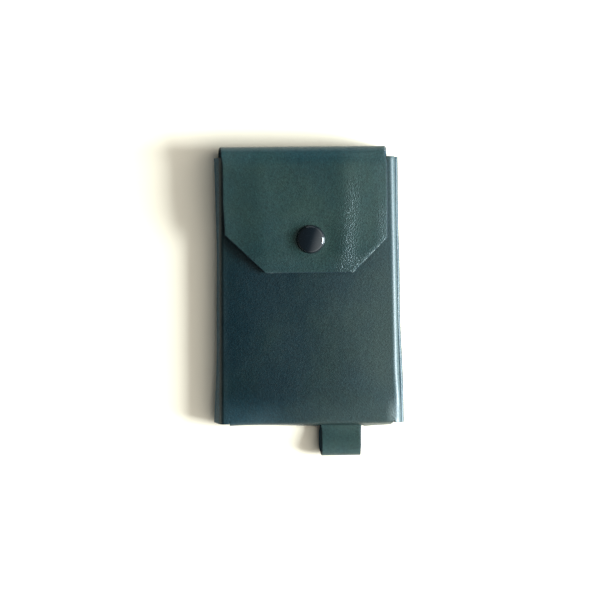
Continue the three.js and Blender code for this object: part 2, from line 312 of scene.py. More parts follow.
@dataclass(frozen=True)
class GrainFinish:
    """The waxed grain side of the hide: mottled dye, fine pores, and wrinkles where it has been bent; its
    lightness, blueness and rubbing also carry painted light, shade and highlights.
    """

    deep: Colour = (0.0005, 0.0092, 0.0136)
    mid: Colour = (0.0092, 0.0238, 0.025)
    # The worn colour is rubbed leather, and is also painted on the ridge and near the right chamfer as a
    # painted highlight.
    worn: Colour = (0.04, 0.068, 0.07)
    # The blue is drawn in on the shaded left wall as painted light, tints the painted highlights at the
    # right fold, the right wall and the ridge, and is bluer dye low on the front's left.
    blue: Colour = (0.018, 0.11, 0.18)
    olive: Colour = (1.4, 1.1, 0.92)
    gloss: Colour = (0.84, 0.96, 1.0)
    smooth: float = 0.34
    dry: float = 0.5
    coat: float = 0.42
    grain_depth: float = 0.085
    wrinkle_depth: float = 0.18
    clouding: float = 0.9
    streaking: float = 0.35
    speckling: float = 1.1
    mottle_dark: float = 0.58
    mottle_light: float = 1.42

    def build(self, name: str) -> bpy.types.Material:
        """The material.

        Args:
            name: The material's name.

        Returns:
            The finished material.
        """
        graph = Graph(name)
        place = graph.millimetres()
        fold, edge, wrinkled, tone, rub, cool = (graph.attribute(number) for number in HIDE_NUMBERS)

        clouds = graph.noise(place, 0.06, 4.0, 0.55)
        streaks = graph.noise(graph.millimetres((1.0, 3.0, 1.0)), 0.4, 5.0, 0.6)
        speckle = graph.noise(place, 1.7, 4.0, 0.8)
        # Painted light and shade: the tone is lighter towards the right of the front and of the flap, where
        # the light falls, lighter low on the front above its lower fold, lighter on the ridge as a painted
        # reflection and darker in the band below it as painted shade; the noises are dye.
        share = tone + (clouds - 0.5) * self.clouding
        share = share + (streaks - 0.5) * self.streaking + (speckle - 0.5) * self.speckling
        colour = graph.blend(share.clipped(), self.deep, self.mid)
        drift = graph.ramp(graph.noise(place, 0.05, 3.0, 0.6), (0.42, 0.0), (0.66, 1.0))
        colour = graph.blend(drift, colour, self.olive, "MULTIPLY")
        # Painted light: drawing the colour towards blue lights the shaded left wall and tints the painted
        # highlights at the right fold and on the ridge; low on the front's left it is bluer dye.
        colour = graph.blend(cool.clipped(), colour, self.blue)
        mottle = graph.ramp(graph.noise(place, 1.45, 3.0, 0.85), (0.3, 0.0), (0.7, 1.0))
        darker = graph.scaled(colour, self.mottle_dark)
        colour = graph.blend(mottle, darker, graph.scaled(colour, self.mottle_light))
        # Rubbed leather at folds and nicks is lighter; on the ridge and near the right chamfer the same
        # lighter colour is a painted highlight.
        rubbed_and_highlit = (fold * 0.15 + rub) * graph.ramp(streaks + speckle * 0.5, (0.55, 0.2), (0.95, 1.0))
        colour = graph.blend(rubbed_and_highlit.clipped(), colour, self.worn)

        pores = graph.cells(place, 1.5, 0.3)
        fine = graph.noise(place, 3.4, 4.0, 0.75)
        pebbles = graph.cells(graph.millimetres((1.0, 1.5, 1.0)), 2.3, 0.12)
        ridges = graph.noise(place, 2.2, 3.0, 0.75)
        grain = graph.bump(pores * 0.4 + fine * 0.8, self.grain_depth)
        wrinkles = (pebbles * 0.8 + ridges * 0.7) * wrinkled
        lightness = tone.clipped()
        roughness = lightness * (self.dry - self.smooth) + self.smooth
        roughness = roughness + (streaks - 0.5) * 0.12 + (fine - 0.5) * 0.12
        roughness = roughness - wrinkled * 0.17 + edge * 0.05 + fold * 0.1
        wax = (lightness * self.coat + wrinkled * 0.4) * (1.0 - fold * 0.55)
        graph.surface(
            Base_Color=colour,
            Roughness=roughness.clipped(),
            Normal=graph.bump(wrinkles, self.wrinkle_depth, grain),
            Specular_Tint=self.gloss,
            Specular_IOR_Level=0.34,
            Coat_Weight=wax.clipped(),
            Coat_Roughness=0.35,
            Coat_Tint=self.gloss,
            IOR=1.48,
        )
        return graph.material


@dataclass(frozen=True)
class FleshFinish:
    """The flesh side of the hide: matt, with short fibres."""

    pale: Colour = (0.055, 0.09, 0.094)
    dark: Colour = (0.03, 0.056, 0.062)
    stained: Colour = (0.06, 0.15, 0.2)

    def build(self, name: str) -> bpy.types.Material:
        """The material, named as given.

        Args:
            name: The material's name.

        Returns:
            The finished material.
        """
        graph = Graph(name)
        place = graph.millimetres()
        fibres = graph.noise(place, 2.4, 6.0, 0.75, noise_type="RIDGED_MULTIFRACTAL", normalize=True)
        patches = graph.noise(place, 0.16, 3.0, 0.5)
        nap = graph.ramp(fibres * 0.6 + patches * 0.5, (0.25, 0.0), (0.8, 1.0))
        colour = graph.blend(nap, self.dark, self.pale)
        graph.surface(
            Base_Color=graph.blend(graph.attribute("edge") * 0.7, colour, self.stained),
            Roughness=0.95,
            Normal=graph.bump(fibres + graph.noise(place, 6.0), 0.12),
            Sheen_Weight=0.25,
            Sheen_Roughness=0.5,
        )
        return graph.material


@dataclass(frozen=True)
class EdgeFinish:
    """A cut edge of the hide: dyed, with the layers of fibre just visible."""

    dark: Colour = (0.006, 0.016, 0.024)
    pale: Colour = (0.015, 0.034, 0.045)
    worn: Colour = (0.12, 0.155, 0.155)

    def build(self, name: str) -> bpy.types.Material:
        """The material, named as given.

        Args:
            name: The material's name.

        Returns:
            The finished material.
        """
        graph = Graph(name)
        place = graph.millimetres()
        fibres = graph.noise(place, 3.2, 5.0, 0.7)
        nicks = graph.noise(place, 0.9, 3.0, 0.6)
        colour = graph.blend(graph.ramp(fibres, (0.4, 0.0), (0.75, 1.0)), self.dark, self.pale)
        # Rubbed cut edges are lighter; along the flap's right chamfer and at the ends of the ridge this is a
        # painted highlight.
        rubbed_and_highlit = graph.attribute("rub") * graph.ramp(nicks, (0.47, 0.0), (0.58, 1.0))
        graph.surface(
            Base_Color=graph.blend(rubbed_and_highlit.clipped(), colour, self.worn),
            Roughness=0.72,
            Specular_IOR_Level=0.18,
            Normal=graph.bump(fibres, 0.06),
        )
        return graph.material


@dataclass(frozen=True)
class EnamelFinish:
    """Black lacquer on the press stud's cap, with faint handling marks."""

    colour: Colour = (0.002, 0.0045, 0.007)
    marked: Colour = (0.014, 0.02, 0.023)

    def build(self, name: str) -> bpy.types.Material:
        """The material, named as given.

        Args:
            name: The material's name.

        Returns:
            The finished material.
        """
        graph = Graph(name)
        place = graph.millimetres()
        smears = graph.noise(place, 0.5, 4.0, 0.6)
        marks = graph.noise(graph.millimetres((6.0, 0.5, 1.0)), 1.5, 4.0, 0.7)
        orange_peel = graph.noise(place, 1.6, 2.0, 0.5)
        worn = graph.ramp(marks, (0.6, 0.0), (0.8, 0.6))
        graph.surface(
            Base_Color=graph.blend(worn, self.colour, self.marked),
            Roughness=(0.06 + smears * 0.08 + worn * 0.06).clipped(),
            Normal=graph.bump(orange_peel, 0.003),
            Coat_Weight=0.35,
            Coat_Roughness=0.06,
            Specular_Tint=(0.84, 0.94, 1.0),
            IOR=1.5,
        )
        return graph.material


@dataclass(frozen=True)
class SteelFinish:
    """Darkened plated steel of the press stud's hidden parts."""

    bright: Colour = (0.24, 0.235, 0.23)
    dull: Colour = (0.1, 0.1, 0.105)

    def build(self, name: str) -> bpy.types.Material:
        """The material, named as given.

        Args:
            name: The material's name.

        Returns:
            The finished material.
        """
        graph = Graph(name)
        place = graph.millimetres()
        tarnish = graph.noise(place, 0.9, 4.0, 0.6)
        scratches = graph.noise(graph.millimetres((8.0, 0.6, 8.0)), 2.0, 3.0, 0.7)
        graph.surface(
            Base_Color=graph.blend(graph.ramp(tarnish, (0.35, 0.0), (0.7, 1.0)), self.bright, self.dull),
            Metallic=1.0,
            Roughness=(0.26 + tarnish * 0.2).clipped(),
            Normal=graph.bump(scratches, 0.008),
        )
        return graph.material


class Finishes:
    """One material of each finish, shared by the pieces."""

    def __init__(self) -> None:
        """Makes the materials."""
        self.grain = GrainFinish().build("leather_grain")
        # Painted light: the flap and the tab get a lighter, greener copy of the same leather, standing in
        # for the light that they catch more than the case.
        lit_lighter_copy = GrainFinish(deep=(0.0045, 0.0185, 0.0185), mid=(0.0114, 0.0312, 0.029))
        self.flap_grain = lit_lighter_copy.build("leather_flap_grain")
        self.flesh = FleshFinish().build("leather_flesh")
        self.edge = EdgeFinish().build("leather_edge")
        self.enamel = EnamelFinish().build("black_enamel")
        self.steel = SteelFinish().build("dark_steel")

    def hide(self, grain: bpy.types.Material) -> list[bpy.types.Material]:
        """The hide's three sides, in the order in which Solidify numbers them."""
        return [grain, self.flesh, self.edge]


# ----------------------------------------------------------------------
# Shapes
# ----------------------------------------------------------------------


def smoothstep(value: np.ndarray | float, low: float, high: float) -> np.ndarray:
    """A smooth rise from 0 at low to 1 at high; low may be above high."""
    t = np.clip((np.asarray(value, float) - low) / (high - low), 0.0, 1.0)
    return t * t * (3.0 - 2.0 * t)


def hump(
    value: np.ndarray | float,
    middle: np.ndarray | float,
    width: np.ndarray | float,
) -> np.ndarray:
    """A smooth rise to 1 at the middle that fades away over about the width to either side."""
    return np.exp(-(((value - middle) / width) ** 2))


def spread(start: float, end: float, spacing: float) -> np.ndarray:
    """Even steps from start to end, none longer than the spacing."""
    return np.linspace(start, end, max(2, math.ceil(abs(end - start) / spacing) + 1))


def path_length(path: np.ndarray) -> np.ndarray:
    """The distance along a path at each of its points."""
    steps = np.linalg.norm(np.diff(path, axis=0), axis=1)
    return np.concatenate([[0.0], np.cumsum(steps)])


def arc(centre: Point2, radii: Point2, first: float, last: float, count: int) -> list[Point2]:
    """Points on an arc of a circle or an ellipse.

    Args:
        centre: Its centre.
        radii: Its reach along each coordinate.
        first: The first point's angle in degrees.
        last: The last point's angle in degrees.
        count: How many points.

    Returns:
        The points, in order.
    """
    angles = np.radians(np.linspace(first, last, count))
    return [(centre[0] + radii[0] * math.cos(a), centre[1] + radii[1] * math.sin(a)) for a in angles]


def rounded_path(corners: Sequence[Point3], spacing: float, arc_steps: int) -> np.ndarray:
    """A path through corners, some of them rounded.

    Args:
        corners: Each corner's two coordinates and radius.
        spacing: The largest step along a straight stretch.
        arc_steps: Steps round each rounded corner.

    Returns:
        The points, one in each row.
    """
    stretches: list[np.ndarray] = []
    for i, (x, y, radius) in enumerate(corners):
        here = np.array([x, y])
        if not radius:
            stretches.append(here[None, :])
            continue
        before, after = (np.array(corners[i + k][:2]) - here for k in (-1, 1))
        before, after = before / np.linalg.norm(before), after / np.linalg.norm(after)
        half_angle = math.acos(float(np.clip(before @ after, -1.0, 1.0))) / 2
        bisector = (before + after) / np.linalg.norm(before + after)
        centre = here + bisector * radius / math.sin(half_angle)
        start = here + before * radius / math.tan(half_angle) - centre
        end = here + after * radius / math.tan(half_angle) - centre
        turn = math.atan2(start[0] * end[1] - start[1] * end[0], float(start @ end))
        angles = math.atan2(start[1], start[0]) + turn * np.linspace(0.0, 1.0, arc_steps + 1)
        stretches.append(centre + radius * np.stack([np.cos(angles), np.sin(angles)], axis=1))
    joined = [stretches[0]]
    for stretch in stretches[1:]:
        gap = stretch[0] - joined[-1][-1]
        steps = math.ceil(float(np.linalg.norm(gap)) / spacing)
        between = [joined[-1][-1] + gap * k / steps for k in range(1, steps)]
        joined.extend([np.array(between).reshape(-1, 2), stretch])
    path = np.concatenate(joined)
    apart = np.linalg.norm(np.diff(path, axis=0), axis=1) > 1e-6
    return path[np.concatenate([[True], apart])]


def at_levels(path: np.ndarray, axis: int, *levels: float) -> np.ndarray:
    """The path with a point added where its coordinate first passes each of the levels.

    Args:
        path: The points, one in each row.
        axis: Which of the coordinates.
        levels: Its values at which a point is needed.

    Returns:
        The path with those points.
    """
    for level in levels:
        for i in range(len(path) - 1):
            a, b = path[i, axis], path[i + 1, axis]
            if (a - level) * (b - level) < 0:
                extra = path[i] + (path[i + 1] - path[i]) * (level - a) / (b - a)
                path = np.insert(path, i + 1, extra, axis=0)
                break
    return path


def rows_across(path: np.ndarray, left: np.ndarray, right: np.ndarray, columns: int) -> np.ndarray:
    """Points across a strip at each point of its path, from its left edge to its right.

    Args:
        path: The strip's middle line as y and z.
        left: The x of its left edge at each point.
        right: The x of its right edge at each point.
        columns: Points in each row.

    Returns:
        The rows of points.
    """
    share = np.linspace(0.0, 1.0, columns)
    x = left[:, None] + (right - left)[:, None] * share
    y = np.broadcast_to(path[:, :1], x.shape)
    z = np.broadcast_to(path[:, 1:], x.shape)
    return np.stack([x, y, z], axis=-1)


def edge_fade(shape: tuple[int, ...], width: float) -> np.ndarray:
    """A number that is 1 at a strip's two long edges and fades inwards.

    Args:
        shape: Rows and columns of the strip's grid.
        width: The strip's width in millimetres.

    Returns:
        The number at each point.
    """
    share = np.linspace(0.0, 1.0, shape[1])
    from_edge = np.minimum(share, 1.0 - share) * width
    return np.broadcast_to(smoothstep(from_edge, 1.4, 0.0), shape)


@dataclass
class Lattice:
    """A grid of points on the leather's middle surface, with numbers for its finish."""

    points: np.ndarray
    numbers: dict[str, np.ndarray] = field(default_factory=dict)
    keep: Callable[[np.ndarray], np.ndarray] | None = None

    def add_to(self, mesh: bmesh.types.BMesh) -> None:
        """Adds the lattice's faces to a mesh; keep says which, from the faces' centres.

        Args:
            mesh: The mesh, with a layer for each number of the finish.
        """
        rows, columns, _ = self.points.shape
        layers = {name: mesh.verts.layers.float.get(name) for name in HIDE_NUMBERS}
        made = np.empty((rows, columns), object)
        for r in range(rows):
            for c in range(columns):
                vertex = mesh.verts.new(self.points[r, c] * MM)
                for name, layer in layers.items():
                    if name in self.numbers:
                        vertex[layer] = float(self.numbers[name][r, c])
                made[r, c] = vertex
        centres = (self.points[:-1, :-1] + self.points[1:, 1:]) / 2
        kept = self.keep(centres) if self.keep else np.ones(centres.shape[:2], bool)
        for r in range(rows - 1):
            for c in range(columns - 1):
                if kept[r, c]:
                    mesh.faces.new([made[r, c], made[r, c + 1], made[r + 1, c + 1], made[r + 1, c]])


@dataclass
class HideBuilder:
    """Turns lattices into a piece of leather with its thickness, cut edges and finish."""

    finishes: Finishes
    thickness: float = 1.2
    edge_round: float = 0.22

    def build(
        self,
        name: str,
        lattices: Sequence[Lattice],
        outside: Vector,
        grain: bpy.types.Material,
        butt: Callable[[Vector], bool] | None = None,
    ) -> bpy.types.Object:
        """Makes one piece of leather.

        Args:
            name: The piece's name.
            lattices: Its middle surface; where they share points they are joined.
            outside: A point in millimetres that the grain side of the first face looks towards.
            grain: The finish of its grain side.
            butt: Says whether a point, in millimetres, lies where the piece meets the next one, so that its
                edge stays square.

        Returns:
            The object, at the origin.
        """
        data = self._sheet(name, lattices, outside)
        piece = bpy.data.objects.new(name, data)
        bpy.context.scene.collection.objects.link(piece)
        for material in self.finishes.hide(grain):
            data.materials.append(material)
        solid = piece.modifiers.new("thickness", "SOLIDIFY")
        solid.thickness = self.thickness * MM
        solid.offset = 0.0
        solid.use_even_offset = True
        solid.material_offset = 1
        solid.material_offset_rim = 2
        freeze(piece)
        self._round_edges(piece, butt)
        return piece

    @staticmethod
    def _sheet(name: str, lattices: Sequence[Lattice], outside: Vector) -> bpy.types.Mesh:
        """Joins lattices into one sheet without thickness, with its grain side out.

        Args:
            name: The mesh's name.
            lattices: The grids that make it up.
            outside: A point in millimetres that the grain side of the first face looks towards.

        Returns:
            The mesh.
        """
        mesh = bmesh.new()
        for number in HIDE_NUMBERS:
            mesh.verts.layers.float.new(number)
        for lattice in lattices:
            lattice.add_to(mesh)
        bmesh.ops.remove_doubles(mesh, verts=mesh.verts, dist=2e-6)
        bmesh.ops.delete(mesh, geom=[v for v in mesh.verts if not v.link_faces], context="VERTS")
        bmesh.ops.recalc_face_normals(mesh, faces=mesh.faces)
        mesh.faces.ensure_lookup_table()
        first = mesh.faces[0]
        if first.normal.dot(outside * MM - first.calc_center_median()) < 0:
            bmesh.ops.reverse_faces(mesh, faces=mesh.faces)
        data = bpy.data.meshes.new(name)
        mesh.to_mesh(data)
        mesh.free()
        return data

    def _round_edges(self, piece: bpy.types.Object, butt: Callable[[Vector], bool] | None) -> None:
        """Rounds the cut edges, except where the piece meets the next one.

        Args:
            piece: The piece, with its thickness.
            butt: Says whether a point, in millimetres, belongs to an edge that stays square.
        """
        mesh = bmesh.new()
        mesh.from_mesh(piece.data)
        edges = [
            e
            for e in mesh.edges
            if len(e.link_faces) == 2
            and e.link_faces[0].material_index != e.link_faces[1].material_index
            and not (butt and all(butt(v.co / MM) for v in e.verts))
        ]
        bmesh.ops.bevel(
            mesh,
            geom=edges,
            offset=self.edge_round * MM,
            offset_type="OFFSET",
            segments=3,
            profile=0.5,
            affect="EDGES",
            clamp_overlap=True,
            material=2,
        )
        for face in mesh.faces:
            face.smooth = True
        mesh.to_mesh(piece.data)
        mesh.free()
        piece.data.set_sharp_from_angle(angle=SHARP_ANGLE)


def freeze(piece: bpy.types.Object) -> None:
    """Turns a piece's modifiers into plain mesh.

    Args:
        piece: The piece, which keeps its name and place.
    """
    bpy.context.view_layer.update()
    graph = bpy.context.evaluated_depsgraph_get()
    frozen = bpy.data.meshes.new_from_object(piece.evaluated_get(graph))
    old = piece.data
    piece.modifiers.clear()
    piece.data = frozen
    bpy.data.meshes.remove(old)


def turned(
    name: str,
    profile: Sequence[Point2],
    place: Matrix,
    material: bpy.types.Material,
) -> bpy.types.Object:
    """A piece turned about an axis.

    Args:
        name: The piece's name.
        profile: Its radii and heights in millimetres; it closes on itself or on the axis.
        place: From the piece's own frame, in millimetres, to the part's.
        material: Its finish.

    Returns:
        The object, at the origin.
    """
    mesh = bmesh.new()
    turns = [math.tau * k / TURN_SIDES for k in range(TURN_SIDES)]
    rings = [[mesh.verts.new((r * math.cos(a), r * math.sin(a), h)) for a in turns] for r, h in profile]
    closes_on_axis = profile[0][0] < 1e-9
    pairs = list(zip(rings, rings[1:] if closes_on_axis else rings[1:] + rings[:1]))
    for lower, upper in pairs:
        for k in range(TURN_SIDES):
            following = (k + 1) % TURN_SIDES
            mesh.faces.new([lower[k], lower[following], upper[following], upper[k]])
    bmesh.ops.remove_doubles(mesh, verts=mesh.verts, dist=1e-4)
    bmesh.ops.dissolve_degenerate(mesh, edges=mesh.edges, dist=1e-5)
    bmesh.ops.recalc_face_normals(mesh, faces=mesh.faces)
    for face in mesh.faces:
        face.smooth = True
    mesh.transform(Matrix.Scale(MM, 4) @ place)
    data = bpy.data.meshes.new(name)
    mesh.to_mesh(data)
    mesh.free()
    data.set_sharp_from_angle(angle=SHARP_ANGLE)
    data.materials.append(material)
    piece = bpy.data.objects.new(name, data)
    bpy.context.scene.collection.objects.link(piece)
    return piece


def box_mm(node: str) -> tuple[Vector, Vector]:
    """A CAD node's lowest and highest corners, in millimetres."""
    low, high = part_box(node)
    return low / MM, high / MM


def point(y_mm: float, z_mm: float) -> Point3:
    """A point of the middle plane, in metres."""
    return (0.0, y_mm * MM, z_mm * MM)


def dress(piece: bpy.types.Object, slot: Slot, *nodes: str) -> None:
    """Hides the CAD nodes that a piece stands for, and logs its face count.

    Args:
        piece: The piece.
        slot: Its slot in the record; not used.
        nodes: The CAD nodes that it replaces.
    """
    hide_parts(*nodes)
    LOG.info("%s: %d faces, for %s", piece.name, len(piece.data.polygons), ", ".join(nodes))


# ----------------------------------------------------------------------
# The leather
# ----------------------------------------------------------------------


@dataclass
class Blank:
    """Sizes that the leather's sheets share, in millimetres, with the places that the frame gives them."""

    thickness: float = 1.2
    flare: float = 0.00026
    side_fold: float = 1.0
    right_fold: float = 1.5
    right_overhang: float = 0.7
    slit_x: float = 28.7
    flange_x: float = 31.95
    front_width: float = 61.6
    wing_inner: float = 19.0
    back_width: float = 67.6
    bottom_fold_rise: float = 0.6
    bottom_front_fold: float = 0.9
    bottom_back_fold: float = 1.2
    top_back_fold: float = 2.0
    top_front_fold: float = 2.3
    roof_seam: float = 5.4
    seam_gap: float = 0.4
    seam_reach: float = 0.45
    slit_reach: float = 0.3

    def __post_init__(self) -> None:
        """Reads the places from the frame."""
        half = self.thickness / 2
        front_high = box_mm("front_panel")[1]
        wall_low = box_mm("right_side_wall")[0]
        self.front_z = front_high.z - half
        self.top = front_high.y
        self.side_bottom = wall_low.y
        self.back_x = self.back_width / 2 - half
        self.front_x = self.front_width / 2 - half
        self.wing_z = wall_low.z + half
        self.fold_start = self.side_bottom + self.bottom_fold_rise
        self.bottom_front_y = self.fold_start - self.bottom_front_fold
        self.bottom_back_y = box_mm("bottom_wall")[0].y + half
        self.back_start = self.bottom_back_y + self.bottom_back_fold + self.seam_gap
        self.roof_y = box_mm("flap_roof")[1].y - half
        self.flap_z = box_mm("flap_panel")[1].z - half
        self.back_z = half

    def widening(self, y: np.ndarray | float) -> np.ndarray | float:
        """How much wider the case is at a height than halfway up."""
        return 1.0 - self.flare * y

    def at_back_seam(self, place: Vector) -> bool:
        """Whether a point lies on the seam between the bottom wall and the back panel."""
        return abs(place.y - self.back_start) < self.seam_reach and place.z < self.thickness + 0.01

    def at_roof_seam(self, place: Vector) -> bool:
        """Whether a point lies on the seam halfway up the roof."""
        return abs(place.z - self.roof_seam) < 1e-3 and place.y > self.roof_y - 2.0

    def at_back_butt(self, place: Vector) -> bool:
        """Whether a point lies on one of the back panel's two seams."""
        return self.at_roof_seam(place) or self.at_back_seam(place)

    def at_case_butt(self, place: Vector) -> bool:
        """Whether a point of the case lies on its back seam or in the slit at a lower corner of the front.

        Args:
            place: The point, in millimetres.

        Returns:
            True where the edge stays square.
        """
        from_slit = abs(abs(place.x) - self.slit_x * self.widening(place.y))
        along_slit = self.side_bottom - 0.2 < place.y < self.fold_start + self.slit_reach
        in_slit = from_slit < self.slit_reach and along_slit and place.z > 4.0
        return in_slit or self.at_back_seam(place)


@dataclass
class CaseLeather:
    """The front panel with its side walls, wings and bottom wall: one piece of the hide, folded.

    The slot lets the tab through. A reach is how far a side wall runs past the front's lower fold. The
    pinches, ripple, crown, sag, droop, bulge, waves and bow are how far the leather gives from straight.
    """

    blank: Blank
    tab_x: float
    slot_half: float = 8.0
    slot_low: float = 1.25
    slot_high: float = 3.95
    left_reach: float = 0.65
    right_reach: float = 0.8
    row_step: float = 1.3
    fine_step: float = 0.5
    section_step: float = 0.8
    fold_steps: int = 12
    left_pinch: float = 0.8
    right_pinch: float = 0.1
    foot_pinch: float = 0.6
    ripple: float = 0.08
    crown: float = 0.45
    sag: float = 0.5
    corner_droop: float = 1.2
    bulge: float = 0.8
    long_wave: float = 0.045
    short_wave: float = 0.03
    bottom_bow: float = 0.9
    wing_cut: float = 4.0

    def __post_init__(self) -> None:
        """Works out the ends of the slot that the tab goes through."""
        self.slot_left = self.tab_x - self.slot_half
        self.slot_right = self.tab_x + self.slot_half

    def build(self, hide: HideBuilder) -> None:
        """Makes the piece, dresses it and fixes it to the case.

        Args:
            hide: Makes the leather.
        """
        outside = Vector((-19.0, 40.0, -50.0))
        grain = hide.finishes.grain
        case = hide.build("case_leather", self.lattices(), outside, grain, self.blank.at_case_butt)
        walls = ("left_side_wall", "right_side_wall", "left_wing", "right_wing")
        dress(case, Slot.LEATHER, "front_panel", "bottom_wall", *walls)
        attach(case, Body.CASE.value)

    def lattices(self) -> list[Lattice]:
        """The front with its sides, the ends of the side walls, and the bottom wall.

        Returns:
            The four grids, which share the points where they meet.
        """
        b = self.blank
        profile = self._profile()
        in_front = (np.abs(profile[:, 0]) <= b.slit_x + 1e-6) & (profile[:, 1] > b.front_z - 0.3)
        first, last = np.flatnonzero(in_front)[[0, -1]]
        wall_rows = spread(b.fold_start, b.side_bottom, self.fine_step)
        wrap = self._grid(profile, spread(b.top, b.fold_start, self.row_step))
        left = self._grid(profile[: first + 1], wall_rows)
        right = self._grid(profile[last:], wall_rows)
        return [wrap, left, right, self._bottom(profile[first : last + 1, 0])]

    def _profile(self) -> np.ndarray:
        """The section across the case, from the left wing round to the right one, as x and z.

        Returns:
            The points, one in each row.
        """
        b = self.blank
        middle = (0.0, b.front_z, 0.0)
        fold = (b.front_x, b.front_z, b.side_fold)
        wing = [(b.back_x, b.wing_z, b.side_fold), (b.wing_inner, b.wing_z, 0.0)]
        flange_z = b.wing_z + b.thickness + 0.02
        flange = [
            (b.front_x - 0.1, flange_z + 0.2, 1.0),
            (b.flange_x, flange_z, 0.6),
            (b.flange_x, b.wing_z, 0.6),
        ]
        overhang = (b.front_x + b.right_overhang, b.front_z, b.right_fold)
        right = rounded_path([middle, overhang, *flange, wing[1]], self.section_step, self.fold_steps)
        mirrored = rounded_path([middle, fold, *wing], self.section_step, self.fold_steps)
        left = mirrored[:0:-1] * np.array([-1.0, 1.0])
        levels = (self.slot_left, self.slot_right, b.slit_x, -b.slit_x)
        return at_levels(np.concatenate([left, right]), 0, *levels)

    def _settle(self, points: np.ndarray) -> np.ndarray:
        """Gives straight leather the small bends that a used case has.

        Args:
            points: Points of the middle surface, straight and square.

        Returns:
            The points where they lie in the finished piece.
        """
        b = self.blank
        x, y, z = points[..., 0], points[..., 1], points[..., 2]
        on_front = smoothstep(z, 4.0, b.front_z - 0.3)
        on_wall = 1.0 - on_front
        at_left = smoothstep(x, -b.front_x + 2.0, -b.front_x - 0.5)
        at_right = smoothstep(x, b.front_x - 2.0, b.front_x + 0.5)
        ends = np.clip(np.abs(y) / b.top, 0.0, 1.0) ** 2.5
        foot = at_right * smoothstep(y, -5.0, b.side_bottom)
        pinch = at_left * (self.left_pinch - ends) - at_right * self.right_pinch + foot * self.foot_pinch
        ripple = (at_left + at_right) * self.ripple * np.sin(y * 0.17 + x * 0.4)
        bulge = self.bulge * smoothstep(x, b.front_x - 4.0, b.front_x + 0.5) * smoothstep(z, 4.4, 7.0)
        bulge = bulge * smoothstep(y, -26.0, -46.0)
        crown = -self.crown * np.abs(x / b.front_x) ** 2.6
        sag_height = 6.5 * smoothstep(x, -b.front_x, -b.front_x + 20.0) + 0.5
        sag = -self.sag * np.clip((b.fold_start + sag_height - y) / 6.0, 0.0, 1.2) ** 2
        droop = smoothstep(x, 26.5, b.front_x + 1.2) * smoothstep(y, -35.0, -46.0)
        waves = self.long_wave * np.sin(x * 0.21 + y * 0.09 + 0.7)
        waves = waves + self.short_wave * np.sin(x * 0.11 - y * 0.23)
        lift = on_front * (crown + sag - self.corner_droop * droop + waves)
        moved_x = x * b.widening(y) + on_wall * (pinch + ripple) + bulge
        return np.stack([moved_x, y, z + lift], axis=-1)

    def _grid(self, profile: np.ndarray, rows: np.ndarray) -> Lattice:
        """The profile carried along the case through the given heights.

        Args:
            profile: The section, as x and z.
            rows: The heights, from the top down.

        Returns:
            The grid, settled.
        """
        b = self.blank
        x = np.broadcast_to(profile[:, 0], (len(rows), len(profile)))
        z = np.broadcast_to(profile[:, 1], x.shape)
        y = np.broadcast_to(rows[:, None], x.shape)
        at_left = self.left_reach * smoothstep(z, 2.0, 7.0)
        at_right = self.right_reach * smoothstep(x, 28.75, 29.2)
        past_fold = smoothstep(y, b.fold_start, b.side_bottom) * np.where(x < 0, at_left, at_right)
        points = self._settle(np.stack([x, y - past_fold, z], axis=-1))
        out = np.abs(x)
        near_front = hump(out, b.front_x + b.right_overhang * (x > 0), 1.3) * smoothstep(z, 4.0, 7.0)
        near_back = hump(out, b.back_x, 1.2) * smoothstep(z, 4.0, 2.0)
        top_edge = smoothstep(y, b.top - 1.6, b.top)
        wing_edge = smoothstep(out, b.wing_inner + 1.5, b.wing_inner) * (z < 3.0)
        foot_wrinkle = 0.4 * hump(out, b.front_x - 1.5, 2.5) * smoothstep(y, -30.0, -45.0)
        numbers = {
            "fold": near_front + near_back,
            "edge": np.maximum(top_edge, wing_edge),
            "wrinkle": foot_wrinkle + 0.6 * near_front * (x > 0),
            "tone": self._tone_with_painted_light(x, y, z),
            "cool": self._blue_dye_and_light(x, y, z),
        }
        return Lattice(self._wing_corners(points, z), numbers)

    def _tone_with_painted_light(self, x: np.ndarray, y: np.ndarray, z: np.ndarray) -> np.ndarray:
        """How light the colour is painted: painted light makes it darker along the left fold, lighter
        towards the right and lighter low down; a patch left of the middle is dye.

        Args:
            x: Each point's x.
            y: Each point's y.
            z: Each point's z on the straight section.

        Returns:
            The lightness, from 0 for the deep dye to 1 for the middle one.
        """
        b = self.blank
        # Painted light: lighter towards the right, where the light falls, and low down above the lower fold.
        across = np.clip((x + b.front_x) / (2 * b.front_x), 0.0, 1.0)
        low = (0.25 + 0.25 * smoothstep(x, -5.0, -25.0)) * smoothstep(y, -36.0, -47.0)
        on_front = 1.12 * across**1.9 + 0.12 * hump(x, -14.0, 9.0) + low
        return np.where(z > 6.0, on_front, 0.3)

    def _blue_dye_and_light(self, x: np.ndarray, y: np.ndarray, z: np.ndarray) -> np.ndarray:
        """How far the colour is drawn towards blue: on the left wall as painted light, at the right fold and
        wall as a tint on painted highlights, and low on the left as dye.

        Args:
            x: Each point's x.
            y: Each point's y.
            z: Each point's z on the straight section.

        Returns:
            The share of blue.
        """
        b = self.blank
        low = 0.09 * smoothstep(x, 0.0, -25.0) * smoothstep(y, -34.0, -47.0)
        at_right = 0.1 * smoothstep(x, b.front_x - 2.0, b.front_x)
        return np.where(z > 6.0, low + at_right, np.where(x < 0, 0.5, 0.1))

